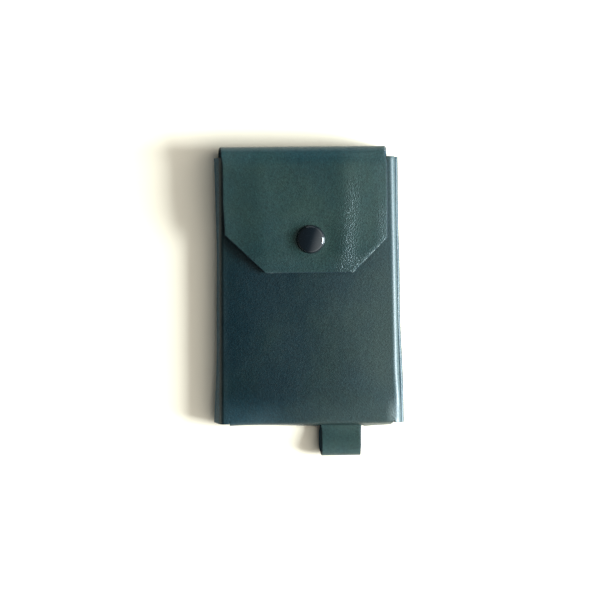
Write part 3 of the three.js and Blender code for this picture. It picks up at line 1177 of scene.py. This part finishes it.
    def _wing_corners(self, points: np.ndarray, z: np.ndarray) -> np.ndarray:
        """Draws the corners of the wings in, as they are cut.

        Args:
            points: The points of the grid, which are changed.
            z: Each point's z on the straight section.

        Returns:
            The same points.
        """
        b = self.blank
        inner = smoothstep(np.abs(points[..., 0]), b.back_x - 3.0, b.wing_inner) * (z < b.wing_z + 0.1)
        end = np.sign(points[..., 1]) * smoothstep(np.abs(points[..., 1]), 30.0, b.top)
        points[..., 1] -= self.wing_cut * inner * end
        return points

    def _bottom(self, columns: np.ndarray) -> Lattice:
        """The bottom wall with its two folds, with the slot left out.

        Args:
            columns: The x of the front panel's points between the two slits.

        Returns:
            The grid, settled.
        """
        b = self.blank
        corners = [
            (b.fold_start, b.front_z, 0.0),
            (b.bottom_front_y, b.front_z, b.bottom_front_fold),
            (b.bottom_back_y, b.back_z, b.bottom_back_fold),
            (b.back_start, b.back_z, 0.0),
        ]
        path = rounded_path(corners, self.fine_step, self.fold_steps)
        path = at_levels(path, 1, self.slot_low, self.slot_high)
        x = np.broadcast_to(columns, (len(path), len(columns)))
        y = np.broadcast_to(path[:, :1], x.shape)
        z = np.broadcast_to(path[:, 1:], x.shape)
        reach = np.clip(np.abs(x) / columns[-1], 0, 1)
        tip = np.where(x < 0, 0.35, -0.1) * reach**10 * smoothstep(y, b.fold_start, b.fold_start - 1.2)
        in_wall = smoothstep(z, 6.5, 1.0) * (y < b.bottom_back_y + 0.5)
        bow = self.bottom_bow * hump(x, 13.0, 17.0) * in_wall
        narrowing = 1.0 - 0.006 * smoothstep(y, b.side_bottom + 0.1, b.side_bottom - 0.3)
        points = np.stack([x * narrowing, y - tip - bow, z], axis=-1)
        length = path_length(path)
        bends = hump(length, 1.9, 1.4) + hump(length, length[-1] - 1.4, 1.2)
        fold = np.broadcast_to(bends[:, None], x.shape)
        front_z = np.full(x.shape, b.front_z)
        numbers = {
            "fold": fold,
            "edge": smoothstep(reach, 0.95, 1.0),
            "wrinkle": 0.4 * fold,
            "tone": self._tone_with_painted_light(x, y, front_z),
            "cool": self._blue_dye_and_light(x, y, front_z),
        }
        return Lattice(self._settle(points), numbers, self._outside_slot)

    def _outside_slot(self, centres: np.ndarray) -> np.ndarray:
        """Which faces of the bottom wall are kept: every one but those in the slot.

        Args:
            centres: The faces' centres.

        Returns:
            True for a face that is kept.
        """
        x, y, z = centres[..., 0], centres[..., 1], centres[..., 2]
        in_x = (x > self.slot_left * 0.99) & (x < self.slot_right * 1.01)
        in_z = (z > self.slot_low) & (z < self.slot_high)
        return ~(in_x & in_z & (y < self.blank.bottom_back_y + 1.0))


@dataclass
class StripLeather:
    """The strip that runs up the back, over the open end and down the front as the flap.

    snap is the point of the flap's outer face under the cap, and slope is the flap's tilt there, in radians.
    A pair of limits, drifts or cuts is for the left and the right edge. The ring, hollow, ridges, groove,
    waves and droops are how far the flap's surface rises or falls.
    """

    blank: Blank
    snap: Vector
    slope: float
    back_limits: Point2 = (-30.8, 28.4)
    crease_limits: Point2 = (-31.3, 28.3)
    ridge_limits: Point2 = (-30.4, 26.9)
    flap_limits: Point2 = (-29.8, 27.7)
    flap_drift: Point2 = (0.5, -0.15)
    drift_start: Point2 = (32.0, 30.0)
    cut_widths: Point2 = (14.8, 12.1)
    cut_heights: Point2 = (13.4, 12.0)
    free_edge_z: float = 8.8
    shoulder_above: float = 10.35
    dip_below: float = 5.75
    back_columns: int = 49
    flap_columns: int = 65
    cap_ring: float = 0.09
    cap_hollow: float = 0.12
    main_ridge: float = 0.3
    side_ridge: float = 0.06
    groove: float = 0.14
    long_wave: float = 0.06
    short_wave: float = 0.04
    left_droop: float = 0.8
    right_droop: float = 0.1

    def __post_init__(self) -> None:
        """Reads the flap's free edge from the frame and places its two cut corners."""
        self.edge_y = box_mm("flap_panel")[0].y + 0.05
        self.cut_starts = [self.edge_y + height for height in self.cut_heights]

    def build(self, hide: HideBuilder) -> None:
        """Makes and dresses the back panel's piece and the flap's piece.

        Args:
            hide: Makes the leather.
        """
        blank = self.blank
        below = Vector((0.0, 0.0, -500.0))
        back = hide.build("back_leather", [self.back()], below, hide.finishes.grain, blank.at_back_butt)
        dress(back, Slot.LEATHER, "back_panel")
        start = point(blank.roof_y - blank.top_back_fold, blank.back_z)
        end = point(blank.roof_y, blank.back_z + blank.top_back_fold)
        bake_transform(back)

        beyond = Vector((0.0, 500.0, 5.0))
        grain = hide.finishes.flap_grain
        flap = hide.build("flap_leather", [self.flap()], beyond, grain, blank.at_roof_seam)
        dress(flap, Slot.LEATHER, "flap_roof", "flap_panel")
        start = point(blank.roof_y, blank.flap_z - blank.top_front_fold)
        end = point(blank.roof_y - blank.top_front_fold, blank.flap_z)
        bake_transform(flap)

    def _roof_limit(self, side: int, z: np.ndarray) -> np.ndarray:
        """The strip's left (0) or right (1) edge at a height on the roof.

        Args:
            side: Which edge.
            z: The heights.

        Returns:
            The x of the edge at each height.
        """
        b = self.blank
        share = np.clip((z - b.back_z) / (b.flap_z - b.back_z), 0.0, 1.0)
        crease = self.crease_limits[side]
        return crease + (self.ridge_limits[side] - crease) * share

    def back(self) -> Lattice:
        """The back panel, the crease at its top, and the lower half of the roof.

        Returns:
            The grid.
        """
        b = self.blank
        corners = [
            (b.back_start, b.back_z, 0.0),
            (b.roof_y, b.back_z, b.top_back_fold),
            (b.roof_y, b.roof_seam, 0.0),
        ]
        path = rounded_path(corners, 1.6, 16)
        y, z = path[:, 0], path[:, 1]
        up = np.clip((y - b.back_start) / (b.roof_y - b.top_back_fold - b.back_start), 0.0, 1.0)
        near_top = smoothstep(y, b.roof_y - 9.0, b.roof_y - 1.5)
        bottom_half = b.slit_x * b.widening(b.back_start) * 0.994
        limits = []
        for side, foot in enumerate((-bottom_half, bottom_half)):
            top = self.back_limits[side]
            on_panel = foot + (top - foot) * up + (self.crease_limits[side] - top) * near_top
            limits.append(np.where(z > b.back_z + 1e-6, self._roof_limit(side, z), on_panel))
        points = rows_across(path, limits[0], limits[1], self.back_columns)
        shape = points.shape[:2]
        fold = np.broadcast_to((hump(y, b.roof_y, 1.6) * smoothstep(z, 5.0, 1.0))[:, None], shape)
        numbers = {
            "fold": fold,
            "edge": edge_fade(shape, 58.0),
            "wrinkle": fold * 0.6,
            "tone": np.full(shape, 0.55),
        }
        return Lattice(points, numbers)

    def _height(self, y: float) -> float:
        """Height of the flap's middle line on its straight stretch, under the cap."""
        return self.snap.z - self.blank.thickness / 2 + (y - self.snap.y) * math.tan(self.slope)

    def _flap_line(self) -> np.ndarray:
        """The middle line of the flap's section as y and z, from the roof's seam to the free edge.

        Returns:
            The points, one in each row.
        """
        b = self.blank
        shoulder = self.snap.y + self.shoulder_above
        dip = self.snap.y - self.dip_below
        corners = [
            (b.roof_y, b.roof_seam, 0.0),
            (b.roof_y, b.flap_z, b.top_front_fold),
            (shoulder, self._height(shoulder), 60.0),
            (dip, self._height(dip), 12.0),
            (self.edge_y, self.free_edge_z, 0.0),
        ]
        return at_levels(rounded_path(corners, 0.9, 16), 0, *self.cut_starts)

    def _flap_limit(self, side: int, path: np.ndarray) -> np.ndarray:
        """The flap's left (0) or right (1) edge at each point of its line, with the corner cut off.

        Args:
            side: Which edge.
            path: The flap's middle line, as y and z.

        Returns:
            The x of the edge at each point.
        """
        b = self.blank
        y, z = path[:, 0], path[:, 1]
        limit, start = self.flap_limits[side], self.cut_starts[side]
        on_roof = self._roof_limit(side, z)
        edge = on_roof + (limit - on_roof) * smoothstep(y, b.roof_y - 1.5, b.roof_y - 6.5)
        edge = edge + self.flap_drift[side] * smoothstep(y, self.drift_start[side], start)
        below = y < start
        at_start = float(np.interp(start, y[::-1], edge[::-1]))
        inner = limit - math.copysign(self.cut_widths[side], limit)
        edge[below] = at_start + (inner - at_start) * (start - y[below]) / (start - self.edge_y)
        return edge

    def flap(self) -> Lattice:
        """The upper half of the roof, the crease at the front, and the flap.

        Returns:
            The grid.
        """
        b = self.blank
        path = self._flap_line()
        left, right = (self._flap_limit(side, path) for side in (0, 1))
        points = rows_across(path, left, right, self.flap_columns)
        x, y, z = points[..., 0], points[..., 1], points[..., 2]
        on_flap = smoothstep(y, b.roof_y - 2.0, b.roof_y - 8.0)
        groove = self.groove * hump(y, b.roof_y - 3.4, 0.9) * smoothstep(z, 9.0, 11.0)
        points[..., 2] = z + on_flap * self._relief(x, y) - groove
        crease = hump(y, b.roof_y, 1.2) * smoothstep(z, 8.5, 10.5)
        # Painted light and shade: the tone is lighter on the right, where the light falls, and on the ridge
        # as a painted reflection, and darker in the band just below the ridge as painted shade; it is also
        # darker towards the free edge and lighter at the left edge, and the blue tints the ridge's painted
        # reflection.
        shaded_top_band = smoothstep(y, b.roof_y - 7.5, b.roof_y - 3.0)
        tone = 0.41 + 0.55 * smoothstep(x, 8.0, 20.0) - 0.2 * smoothstep(y, 32.0, 12.0) + 0.5 * crease
        tone = tone + 0.3 * smoothstep(x, -15.0, -27.0) - 0.3 * shaded_top_band * (1.0 - crease)
        # Painted highlight along the right chamfer; the crease gives the ridge its painted reflection
        # through the same number, and the nicks near the free edge are wear.
        cut_highlight = smoothstep(x - y, 7.6, 9.0) * smoothstep(x, 12.0, 15.0) * smoothstep(y, 19.5, 17.0)
        nicks = 0.5 * hump(x, -12.0, 3.0) * smoothstep(y, self.edge_y + 1.0, self.edge_y)
        free_edge = smoothstep(y, self.edge_y + 1.4, self.edge_y)
        numbers = {
            "fold": 0.4 * crease,
            "edge": np.maximum(edge_fade(x.shape, 56.0), free_edge),
            "wrinkle": self._wrinkles(x, y) * on_flap,
            "tone": tone,
            "cool": 0.02 + 0.12 * crease + 0.05 * shaded_top_band,
            "rub": np.maximum(np.maximum(cut_highlight, nicks), crease),
        }
        return Lattice(points, numbers)

    def _relief(self, x: np.ndarray, y: np.ndarray) -> np.ndarray:
        """How far the flap's surface rises and falls: round the cap, in two soft ridges, and to its sides.

        Args:
            x: Each point's x.
            y: Each point's y.

        Returns:
            The rise at each point, in millimetres.
        """
        from_snap = np.hypot(x - self.snap.x, y - self.snap.y)
        dimple = self.cap_ring * hump(from_snap, 5.3, 0.6) - self.cap_hollow * hump(from_snap, 8.0, 2.5)
        ridges = self.main_ridge * hump(x, 11.8, np.where(x < 11.8, 9.0, 3.6))
        ridges = ridges + self.side_ridge * hump(x, 24.0, np.where(x < 24.0, 5.0, 2.2))
        waves = self.long_wave * np.sin(x * 0.33 + y * 0.06)
        waves = waves + self.short_wave * np.sin(y * 0.31 + x * 0.12)
        quiet = smoothstep(from_snap, 4.5, 9.0) * smoothstep(y, self.edge_y, self.edge_y + 8.0)
        droop = self.left_droop * smoothstep(x, -14.0, -30.0)
        droop = droop + self.right_droop * smoothstep(x, 23.0, 28.5)
        return dimple + quiet * (ridges + waves) - droop

    @staticmethod
    def _wrinkles(x: np.ndarray, y: np.ndarray) -> np.ndarray:
        """Where handling has wrinkled the flap's grain.

        Args:
            x: Each point's x.
            y: Each point's y.

        Returns:
            How wrinkled each point is, from 0 to 1.
        """
        band = hump(x - 0.08 * (y - 20), 14.5, 3.4) * smoothstep(y, 46.0, 30.0)
        side = hump(x, 25.5, 2.2) * smoothstep(y, 34.0, 27.0) * smoothstep(y, 14.0, 20.0)
        cut = hump(x - y, 8.5, 2.6) * smoothstep(y, 20.0, 13.0) * smoothstep(x, 8.0, 14.0)
        low = 0.5 * smoothstep(y, 14.0, 7.0) * smoothstep(x, 4.0, 14.0)
        return np.clip(band + 0.75 * side + 0.65 * cut + low, 0.0, 1.0)


@dataclass
class TabLeather:
    """The loop tab: one strip, folded back on itself, whose two tails run in through the slot.

    The limits are its left and right edges, measured from its middle, on each leaf, at the fold and in the
    slot.
    """

    blank: Blank
    upper_limits: Point2 = (-6.9, 6.9)
    fold_limits: Point2 = (-7.0, 6.8)
    lower_limits: Point2 = (-7.8, 7.2)
    slot_limits: Point2 = (-7.3, 7.3)
    root_y: float = -48.6
    columns: int = 21

    def __post_init__(self) -> None:
        """Reads the tab's place from the frame."""
        low, high = box_mm("tab_loop")
        tails_low, tails_high = box_mm("tab_tails")
        self.x = (low.x + high.x) / 2
        self.end = low.y + self.blank.thickness / 2 - 0.4
        self.middle_z = (tails_low.z + tails_high.z) / 2
        self.tail_end = tails_high.y
        self.bulge = (high.z - low.z - self.blank.thickness) / 2
        self.bulge_z = (low.z + high.z) / 2

    def build(self, hide: HideBuilder) -> None:
        """Makes and dresses the piece.

        Args:
            hide: Makes the leather.
        """
        above = Vector((self.x, 0.0, 500.0))
        loop = hide.build("tab_leather", [self.lattice()], above, hide.finishes.flap_grain)
        dress(loop, Slot.LEATHER, "tab_loop", "tab_tails")
        start, end = point(self.root_y + 0.4, 0.0), point(self.root_y - 1.8, 0.0)
        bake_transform(loop)

    def _leaf(self, side: float) -> np.ndarray:
        """One leaf's middle line, from its tail to the fold.

        Args:
            side: 1 for the upper leaf, -1 for the lower one.

        Returns:
            The points, as y and z.
        """
        fold_y = self.end + self.bulge
        tail_z = self.middle_z + side * (self.blank.thickness / 2 + 0.01)
        tail = spread(self.tail_end, self.root_y, 1.2)
        leaf = spread(self.root_y, fold_y, 0.45)[1:]
        rise = smoothstep(leaf, self.root_y, fold_y)
        y = np.concatenate([tail, leaf])
        share = np.concatenate([np.zeros(tail.shape), rise])
        return np.stack([y, tail_z + (self.bulge_z + side * self.bulge - tail_z) * share], axis=1)

    def path(self) -> np.ndarray:
        """The strip's middle line as y and z, from the upper tail round to the lower one.

        Returns:
            The points, one in each row.
        """
        turn = np.radians(np.linspace(90.0, 270.0, 19))[1:-1]
        across = self.end + self.bulge + self.bulge * np.cos(turn)
        round_fold = np.stack([across, self.bulge_z + self.bulge * np.sin(turn)], axis=1)
        return np.concatenate([self._leaf(1.0), round_fold, self._leaf(-1.0)[::-1]])

    def lattice(self) -> Lattice:
        """The strip's middle surface.

        Returns:
            The grid.
        """
        path = self.path()
        length = path_length(path)
        middle = length[-1] / 2
        out = np.clip((self.root_y + 1.5 - path[:, 0]) / 3.0, 0.0, 1.0)
        limits = []
        for side in (0, 1):
            leaf = np.where(length < middle, self.upper_limits[side], self.lower_limits[side])
            shaped = leaf + (self.fold_limits[side] - leaf) * hump(length, middle, 2.2)
            slot = self.slot_limits[side]
            limits.append(slot + (shaped - slot) * out + self.x)
        points = rows_across(path, limits[0], limits[1], self.columns)
        shape = points.shape[:2]
        fold = np.broadcast_to(hump(length, middle, 2.4)[:, None], shape)
        to_corner = points[..., 0] - points[..., 1] - self.x
        numbers = {
            "fold": fold,
            "edge": edge_fade(shape, 14.0),
            "wrinkle": fold * 0.4,
            "tone": 0.72 + 0.6 * smoothstep(to_corner, 44.0, 56.0),
            "cool": 0.02 + fold * 0.05,
        }
        return Lattice(points, numbers)


# ----------------------------------------------------------------------
# The press stud
# ----------------------------------------------------------------------


@dataclass
class WireSweep:
    """A Geometry Nodes tree that sweeps a round wire along an open ring."""

    material: bpy.types.Material
    ring_steps: int = 72
    wire_sides: int = 14

    def __post_init__(self) -> None:
        """Builds the tree with named inputs for the ring's radius, the wire's radius and the opening."""
        self.tree = bpy.data.node_groups.new("wire_sweep", "GeometryNodeTree")
        self.inputs: dict[str, str] = {}
        for name, value in (("Ring Radius", 0.0025), ("Wire Radius", 0.0002), ("Sweep", 5.6)):
            socket = self.tree.interface.new_socket(name, in_out="INPUT", socket_type="NodeSocketFloat")
            socket.default_value = value
            self.inputs[name] = socket.identifier
        self.tree.interface.new_socket("Geometry", in_out="OUTPUT", socket_type="NodeSocketGeometry")
        given = self._node("NodeGroupInput")
        result = self._node("NodeGroupOutput")
        arc_curve = self._node("GeometryNodeCurveArc", Resolution=self.ring_steps)
        circle = self._node("GeometryNodeCurvePrimitiveCircle", Resolution=self.wire_sides)
        sweep = self._node("GeometryNodeCurveToMesh", Fill_Caps=True)
        smooth = self._node("GeometryNodeSetShadeSmooth")
        real = self._node("GeometryNodeRealizeInstances")
        paint = self._node("GeometryNodeSetMaterial", Material=self.material)
        for source, target in (
            (given.outputs["Ring Radius"], arc_curve.inputs["Radius"]),
            (given.outputs["Sweep"], arc_curve.inputs["Sweep Angle"]),
            (given.outputs["Wire Radius"], circle.inputs["Radius"]),
            (arc_curve.outputs["Curve"], sweep.inputs["Curve"]),
            (circle.outputs["Curve"], sweep.inputs["Profile Curve"]),
            (sweep.outputs["Mesh"], smooth.inputs["Geometry"]),
            (smooth.outputs["Geometry"], real.inputs["Geometry"]),
            (real.outputs["Geometry"], paint.inputs["Geometry"]),
            (paint.outputs["Geometry"], result.inputs["Geometry"]),
        ):
            self.tree.links.new(source, target)

    def _node(self, kind: str, **values: Any) -> bpy.types.Node:
        """Adds a node and sets its sockets; a name's underscores stand for spaces.

        Args:
            kind: The node's type.
            values: The values of its sockets.

        Returns:
            The node.
        """
        made = self.tree.nodes.new(kind)
        for name, value in values.items():
            made.inputs[name.replace("_", " ")].default_value = value
        return made

    def ring(
        self,
        name: str,
        place: Matrix,
        ring_mm: float,
        wire_mm: float,
        sweep: float,
    ) -> bpy.types.Object:
        """Makes one ring of wire.

        Args:
            name: The piece's name.
            place: From the ring's own frame, in millimetres, to the part's.
            ring_mm: The radius of the wire's middle line.
            wire_mm: The radius of the wire.
            sweep: The angle that the wire covers, in radians.

        Returns:
            The object, at the origin.
        """
        piece = bpy.data.objects.new(name, bpy.data.meshes.new(name))
        bpy.context.scene.collection.objects.link(piece)
        modifier = piece.modifiers.new("sweep", "NODES")
        modifier.node_group = self.tree
        modifier[self.inputs["Ring Radius"]] = ring_mm * MM
        modifier[self.inputs["Wire Radius"]] = wire_mm * MM
        modifier[self.inputs["Sweep"]] = sweep
        freeze(piece)
        move = place.copy()
        move.translation = place.translation * MM
        piece.data.transform(move)
        return piece


@dataclass
class PressStud:
    """The press stud: cap, socket and spring on the flap, stud and post on the front panel."""

    cap_radius: float = 5.0
    cap_above_flap: float = 1.7
    cap_height: float = 1.68
    crown_edge: float = 4.05
    crown_tilt: float = 16.0
    shoulder: float = 0.95
    shoulder_tilt: float = 66.0
    rim: float = 0.1
    shank_radius: float = 1.1
    shank_end: float = -1.82
    socket_radius: float = 4.2
    socket_bore: float = 2.45
    socket_depth: float = 1.35
    leather: float = 1.2
    clearance: float = 0.05
    slope: float = math.radians(4.0)
    seat: float = 0.06
    spring_wire: float = 0.225
    spring_sweep: float = 5.6
    spring_turn: float = 0.35
    spring_depth: float = 0.98

    def __post_init__(self) -> None:
        """Reads the stud's place from the frame."""
        cap_top = box_mm("snap_cap")[1].z
        low, high = box_mm("snap_stud")
        middle = (low + high) / 2
        flap_z = cap_top - self.cap_above_flap * math.cos(self.slope)
        self.centre = Vector((middle.x, middle.y, flap_z))
        self.front = Vector((middle.x, middle.y, low.z - self.clearance))

    def build(self, finishes: Finishes) -> None:
        """Makes and dresses the five pieces.

        Args:
            finishes: The shared materials.
        """
        tilt = Matrix.Translation(self.centre) @ Matrix.Rotation(self.slope, 4, "X")
        upright = Matrix.Translation(self.front)
        steel = finishes.steel
        for name, node, profile, place, material, slot, body in (
            ("press_stud_cap", "snap_cap", self._cap(), tilt, finishes.enamel, Slot.ENAMEL, Body.FLAP),
            ("press_stud_socket", "snap_socket", self._socket(), tilt, steel, Slot.STEEL, Body.FLAP),
            ("press_stud_stud", "snap_stud", self._stud(), upright, steel, Slot.STEEL, Body.CASE),
            ("press_stud_post", "snap_post", self._post(), upright, steel, Slot.STEEL, Body.CASE),
        ):
            piece = turned(name, profile, place, material)
            dress(piece, slot, node)
            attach(piece, body.value)
        level = tilt @ Matrix.Translation((0.0, 0.0, -self.leather - self.spring_depth))
        level = level @ Matrix.Rotation(self.spring_turn, 4, "Z")
        ring_mm = self.socket_bore + 0.1
        sweep = WireSweep(steel)
        spring = sweep.ring("press_stud_spring", level, ring_mm, self.spring_wire, self.spring_sweep)
        dress(spring, Slot.STEEL, "snap_spring")
        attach(spring, Body.FLAP.value)

    def _cap(self) -> list[Point2]:
        """The cap: a low dome with a rolled rim, and the shank spread under the flap.

        Returns:
            Its radii and heights, from the end of the shank to the middle of the top.
        """
        end = self.shank_end
        spread_end = [(0.0, end), (1.8, end), (1.85, end + 0.07), (1.8, end + 0.14)]
        shank = [(self.shank_radius, end + 0.18), (self.shank_radius, self.seat)]
        rim = arc((self.cap_radius - self.rim, 0.16), (self.rim, self.rim), -88.0, 45.0, 8)
        return [*spread_end, *shank, *rim, *self._dome(), (0.0, self.cap_height)]

    def _dome(self) -> list[Point2]:
        """The cap's top from its rim inwards: a steep skirt, a tight shoulder and a shallow crown.

        Returns:
            The radii and heights of the skirt, the shoulder and the crown.
        """
        flat = math.radians(self.crown_tilt)
        crown = self.crown_edge / math.sin(flat)
        crown_centre = self.cap_height - crown
        outwards = (crown - self.shoulder) * math.sin(flat)
        upwards = crown_centre + (crown - self.shoulder) * math.cos(flat)
        skirt, join, nearly_up = 90.0 - self.shoulder_tilt, 90.0 - self.crown_tilt, 90.0 - math.degrees(0.01)
        shoulder = arc((outwards, upwards), (self.shoulder, self.shoulder), skirt, join, 17)
        return shoulder[:-1] + arc((0.0, crown_centre), (crown, crown), join, nearly_up, 20)

    def _socket(self) -> list[Point2]:
        """The socket: a pressed cup with a rolled lip and a groove for the spring.

        Returns:
            Its radii and heights, which close on themselves.
        """
        top = -self.leather - self.clearance
        bottom = top - self.socket_depth
        plate = top - 0.35
        bore = self.shank_radius + 0.25
        groove_x = self.socket_bore + 0.55
        groove = [(self.socket_bore, plate - 0.15), (groove_x, plate - 0.2)]
        groove += [(groove_x, bottom + 0.32), (self.socket_bore, bottom + 0.27)]
        lip = arc((self.socket_bore + 0.25, bottom + 0.25), (0.25, 0.25), 180.0, 270.0, 6)
        step = [(3.2, bottom + 0.02), (3.3, bottom + 0.12), (3.6, bottom + 0.12), (3.68, bottom + 0.03)]
        shoulder = arc((self.socket_radius - 0.4, bottom + 0.4), (0.4, 0.4), -90.0, 0.0, 7)
        outside = [(self.socket_radius, top - 0.06), (self.socket_radius - 0.06, top), (bore, top)]
        return [(bore, plate), (self.socket_bore, plate), *groove, *lip, *step, *shoulder, *outside]

    @staticmethod
    def _stud() -> list[Point2]:
        """The stud: a dished flange and a waisted head with a rounded crown.

        Returns:
            Its radii and heights, which close on themselves.
        """
        flange = [(1.3, 0.05), (2.88, 0.05), (3.0, 0.12), (2.95, 0.22), (2.2, 0.26), (1.6, 0.32)]
        return [*flange, *arc((1.42, 0.82), (0.38, 0.3), -60.0, 90.0, 9), (1.3, 1.08)]

    def _post(self) -> list[Point2]:
        """The post: a domed flange inside the pocket and a shank up through the stud.

        Returns:
            Its radii and heights, from the middle of the flange to the top of the shank.
        """
        top = -self.leather - self.clearance
        flange = [(0.0, top - 0.35), (2.2, top - 0.34), (3.1, top - 0.27), (3.36, top - 0.14), (3.4, top)]
        shank = self.shank_radius - 0.1
        return [*flange, (shank, top), (shank, 1.0), (shank - 0.12, 1.08), (0.0, 1.08)]


# ----------------------------------------------------------------------
# The studio
# ----------------------------------------------------------------------


@dataclass(frozen=True)
class Studio:
    """A pale floor, one soft window-like light and a camera almost straight above."""

    distance: float = 0.69
    lens: float = 118.5
    aim: Point2 = (-4.47 * MM, -1.88 * MM)
    lean_x: float = math.radians(-1.45)
    lean_y: float = math.radians(-0.2)
    roll: float = math.radians(0.61)
    key_elevation: float = math.radians(20.8)
    key_heading: float = math.radians(-8.5)
    key_distance: float = 0.9
    key_width: float = 0.38
    key_height: float = 0.42
    key_power: float = 33.0
    sky_strength: float = 2.45
    far_heading: float = math.radians(88.0)
    far_elevation: float = math.radians(20.0)
    far_size: Point2 = (0.6, 0.3)
    far_power: float = 1.2
    light_colour: Colour = (0.88, 0.96, 1.0)
    paper: tuple[Colour, Colour] = ((0.89, 0.825, 0.68), (0.91, 0.845, 0.70))
    floor_reach: float = 3.0
    window_side: Point3 = (0.95, -0.3, 0.0)

    def build(self) -> None:
        """Sets up the whole studio."""
        self._floor()
        self._world()
        self._lights()
        self._camera()
        bpy.context.scene.view_settings.view_transform = "Standard"
        bpy.context.scene.view_settings.look = "None"

    def _floor(self) -> None:
        """A wide matt white floor that the part lies on."""
        mesh = bmesh.new()
        bmesh.ops.create_grid(mesh, x_segments=1, y_segments=1, size=self.floor_reach)
        data = bpy.data.meshes.new("floor")
        mesh.to_mesh(data)
        mesh.free()
        floor = bpy.data.objects.new("floor", data)
        bpy.context.scene.collection.objects.link(floor)
        graph = Graph("floor_paper")
        tone = graph.noise(graph.millimetres(), 0.02, 2.0)
        graph.surface(Base_Color=graph.blend(tone, *self.paper), Roughness=0.9)
        data.materials.append(graph.material)

    def _world(self) -> None:
        """A room that is bright towards the window and dim on the other side and overhead."""
        world = bpy.data.worlds.new("studio")
        bpy.context.scene.world = world
        world.use_nodes = True
        tree = world.node_tree
        tree.nodes.clear()
        output = tree.nodes.new("ShaderNodeOutputWorld")
        background = tree.nodes.new("ShaderNodeBackground")
        where = tree.nodes.new("ShaderNodeTexCoord")
        towards = tree.nodes.new("ShaderNodeVectorMath")
        towards.operation = "DOT_PRODUCT"
        towards.inputs[1].default_value = self.window_side
        ramp = tree.nodes.new("ShaderNodeValToRGB")
        stops = (
            (0.0, (0.045, 0.048, 0.05)),
            (0.12, (0.08, 0.084, 0.087)),
            (0.27, (0.31, 0.31, 0.305)),
            (0.45, (0.63, 0.62, 0.59)),
            (0.75, (1.0, 0.98, 0.94)),
        )
        Graph.set_stops(ramp.color_ramp, stops)
        background.inputs["Strength"].default_value = self.sky_strength
        tree.links.new(where.outputs["Generated"], towards.inputs[0])
        tree.links.new(towards.outputs["Value"], ramp.inputs["Fac"])
        tree.links.new(ramp.outputs["Color"], background.inputs["Color"])
        tree.links.new(background.outputs[0], output.inputs["Surface"])

    def _lamp(self, name: str, heading: float, elevation: float, size: Point2, power: float) -> None:
        """Adds a rectangular lamp that faces the part.

        Args:
            name: Its name.
            heading: Its direction from the part, in radians from +X towards +Y.
            elevation: Its height above the floor, in radians.
            size: Its width and height in metres.
            power: Its power in watts.
        """
        light = bpy.data.lights.new(name, "AREA")
        light.shape = "RECTANGLE"
        light.size, light.size_y = size
        light.energy = power
        light.color = self.light_colour
        lamp = bpy.data.objects.new(name, light)
        bpy.context.scene.collection.objects.link(lamp)
        flat = math.cos(elevation)
        towards = Vector((flat * math.cos(heading), flat * math.sin(heading), math.sin(elevation)))
        lamp.location = towards * self.key_distance
        lamp.rotation_euler = towards.to_track_quat("Z", "Y").to_euler()

    def _lights(self) -> None:
        """The window, low on the right, and a faint one beyond the top of the part."""
        size = (self.key_width, self.key_height)
        self._lamp("window", self.key_heading, self.key_elevation, size, self.key_power)
        self._lamp("far_window", self.far_heading, self.far_elevation, self.far_size, self.far_power)

    def _camera(self) -> None:
        """The camera, almost straight above the part."""
        data = bpy.data.cameras.new("camera")
        data.lens = self.lens
        data.sensor_width = 36.0
        data.clip_start = 0.01
        camera = bpy.data.objects.new("camera", data)
        bpy.context.scene.collection.objects.link(camera)
        back = Vector(
            (
                math.sin(self.lean_x),
                math.sin(self.lean_y) * math.cos(self.lean_x),
                math.cos(self.lean_x) * math.cos(self.lean_y),
            )
        )
        up = Vector((math.sin(self.roll), math.cos(self.roll), 0.0))
        right = up.cross(back).normalized()
        up = back.cross(right)
        turn = Matrix((right, up, back)).transposed().to_4x4()
        camera.matrix_world = Matrix.Translation(Vector((*self.aim, 0.0)) + back * self.distance) @ turn
        bpy.context.scene.camera = camera


# ----------------------------------------------------------------------
# The whole object
# ----------------------------------------------------------------------


def main() -> None:
    """Builds the studio, the press stud and the leather, in that order."""
    logging.basicConfig(level=logging.INFO, format="%(name)s: %(message)s")
    Studio().build()
    finishes = Finishes()
    stud = PressStud()
    stud.build(finishes)
    blank = Blank()
    hide = HideBuilder(finishes, blank.thickness)
    tab = TabLeather(blank)
    CaseLeather(blank, tab.x).build(hide)
    StripLeather(blank, stud.centre, stud.slope).build(hide)
    tab.build(hide)


if __name__ == "__main__":
    main()
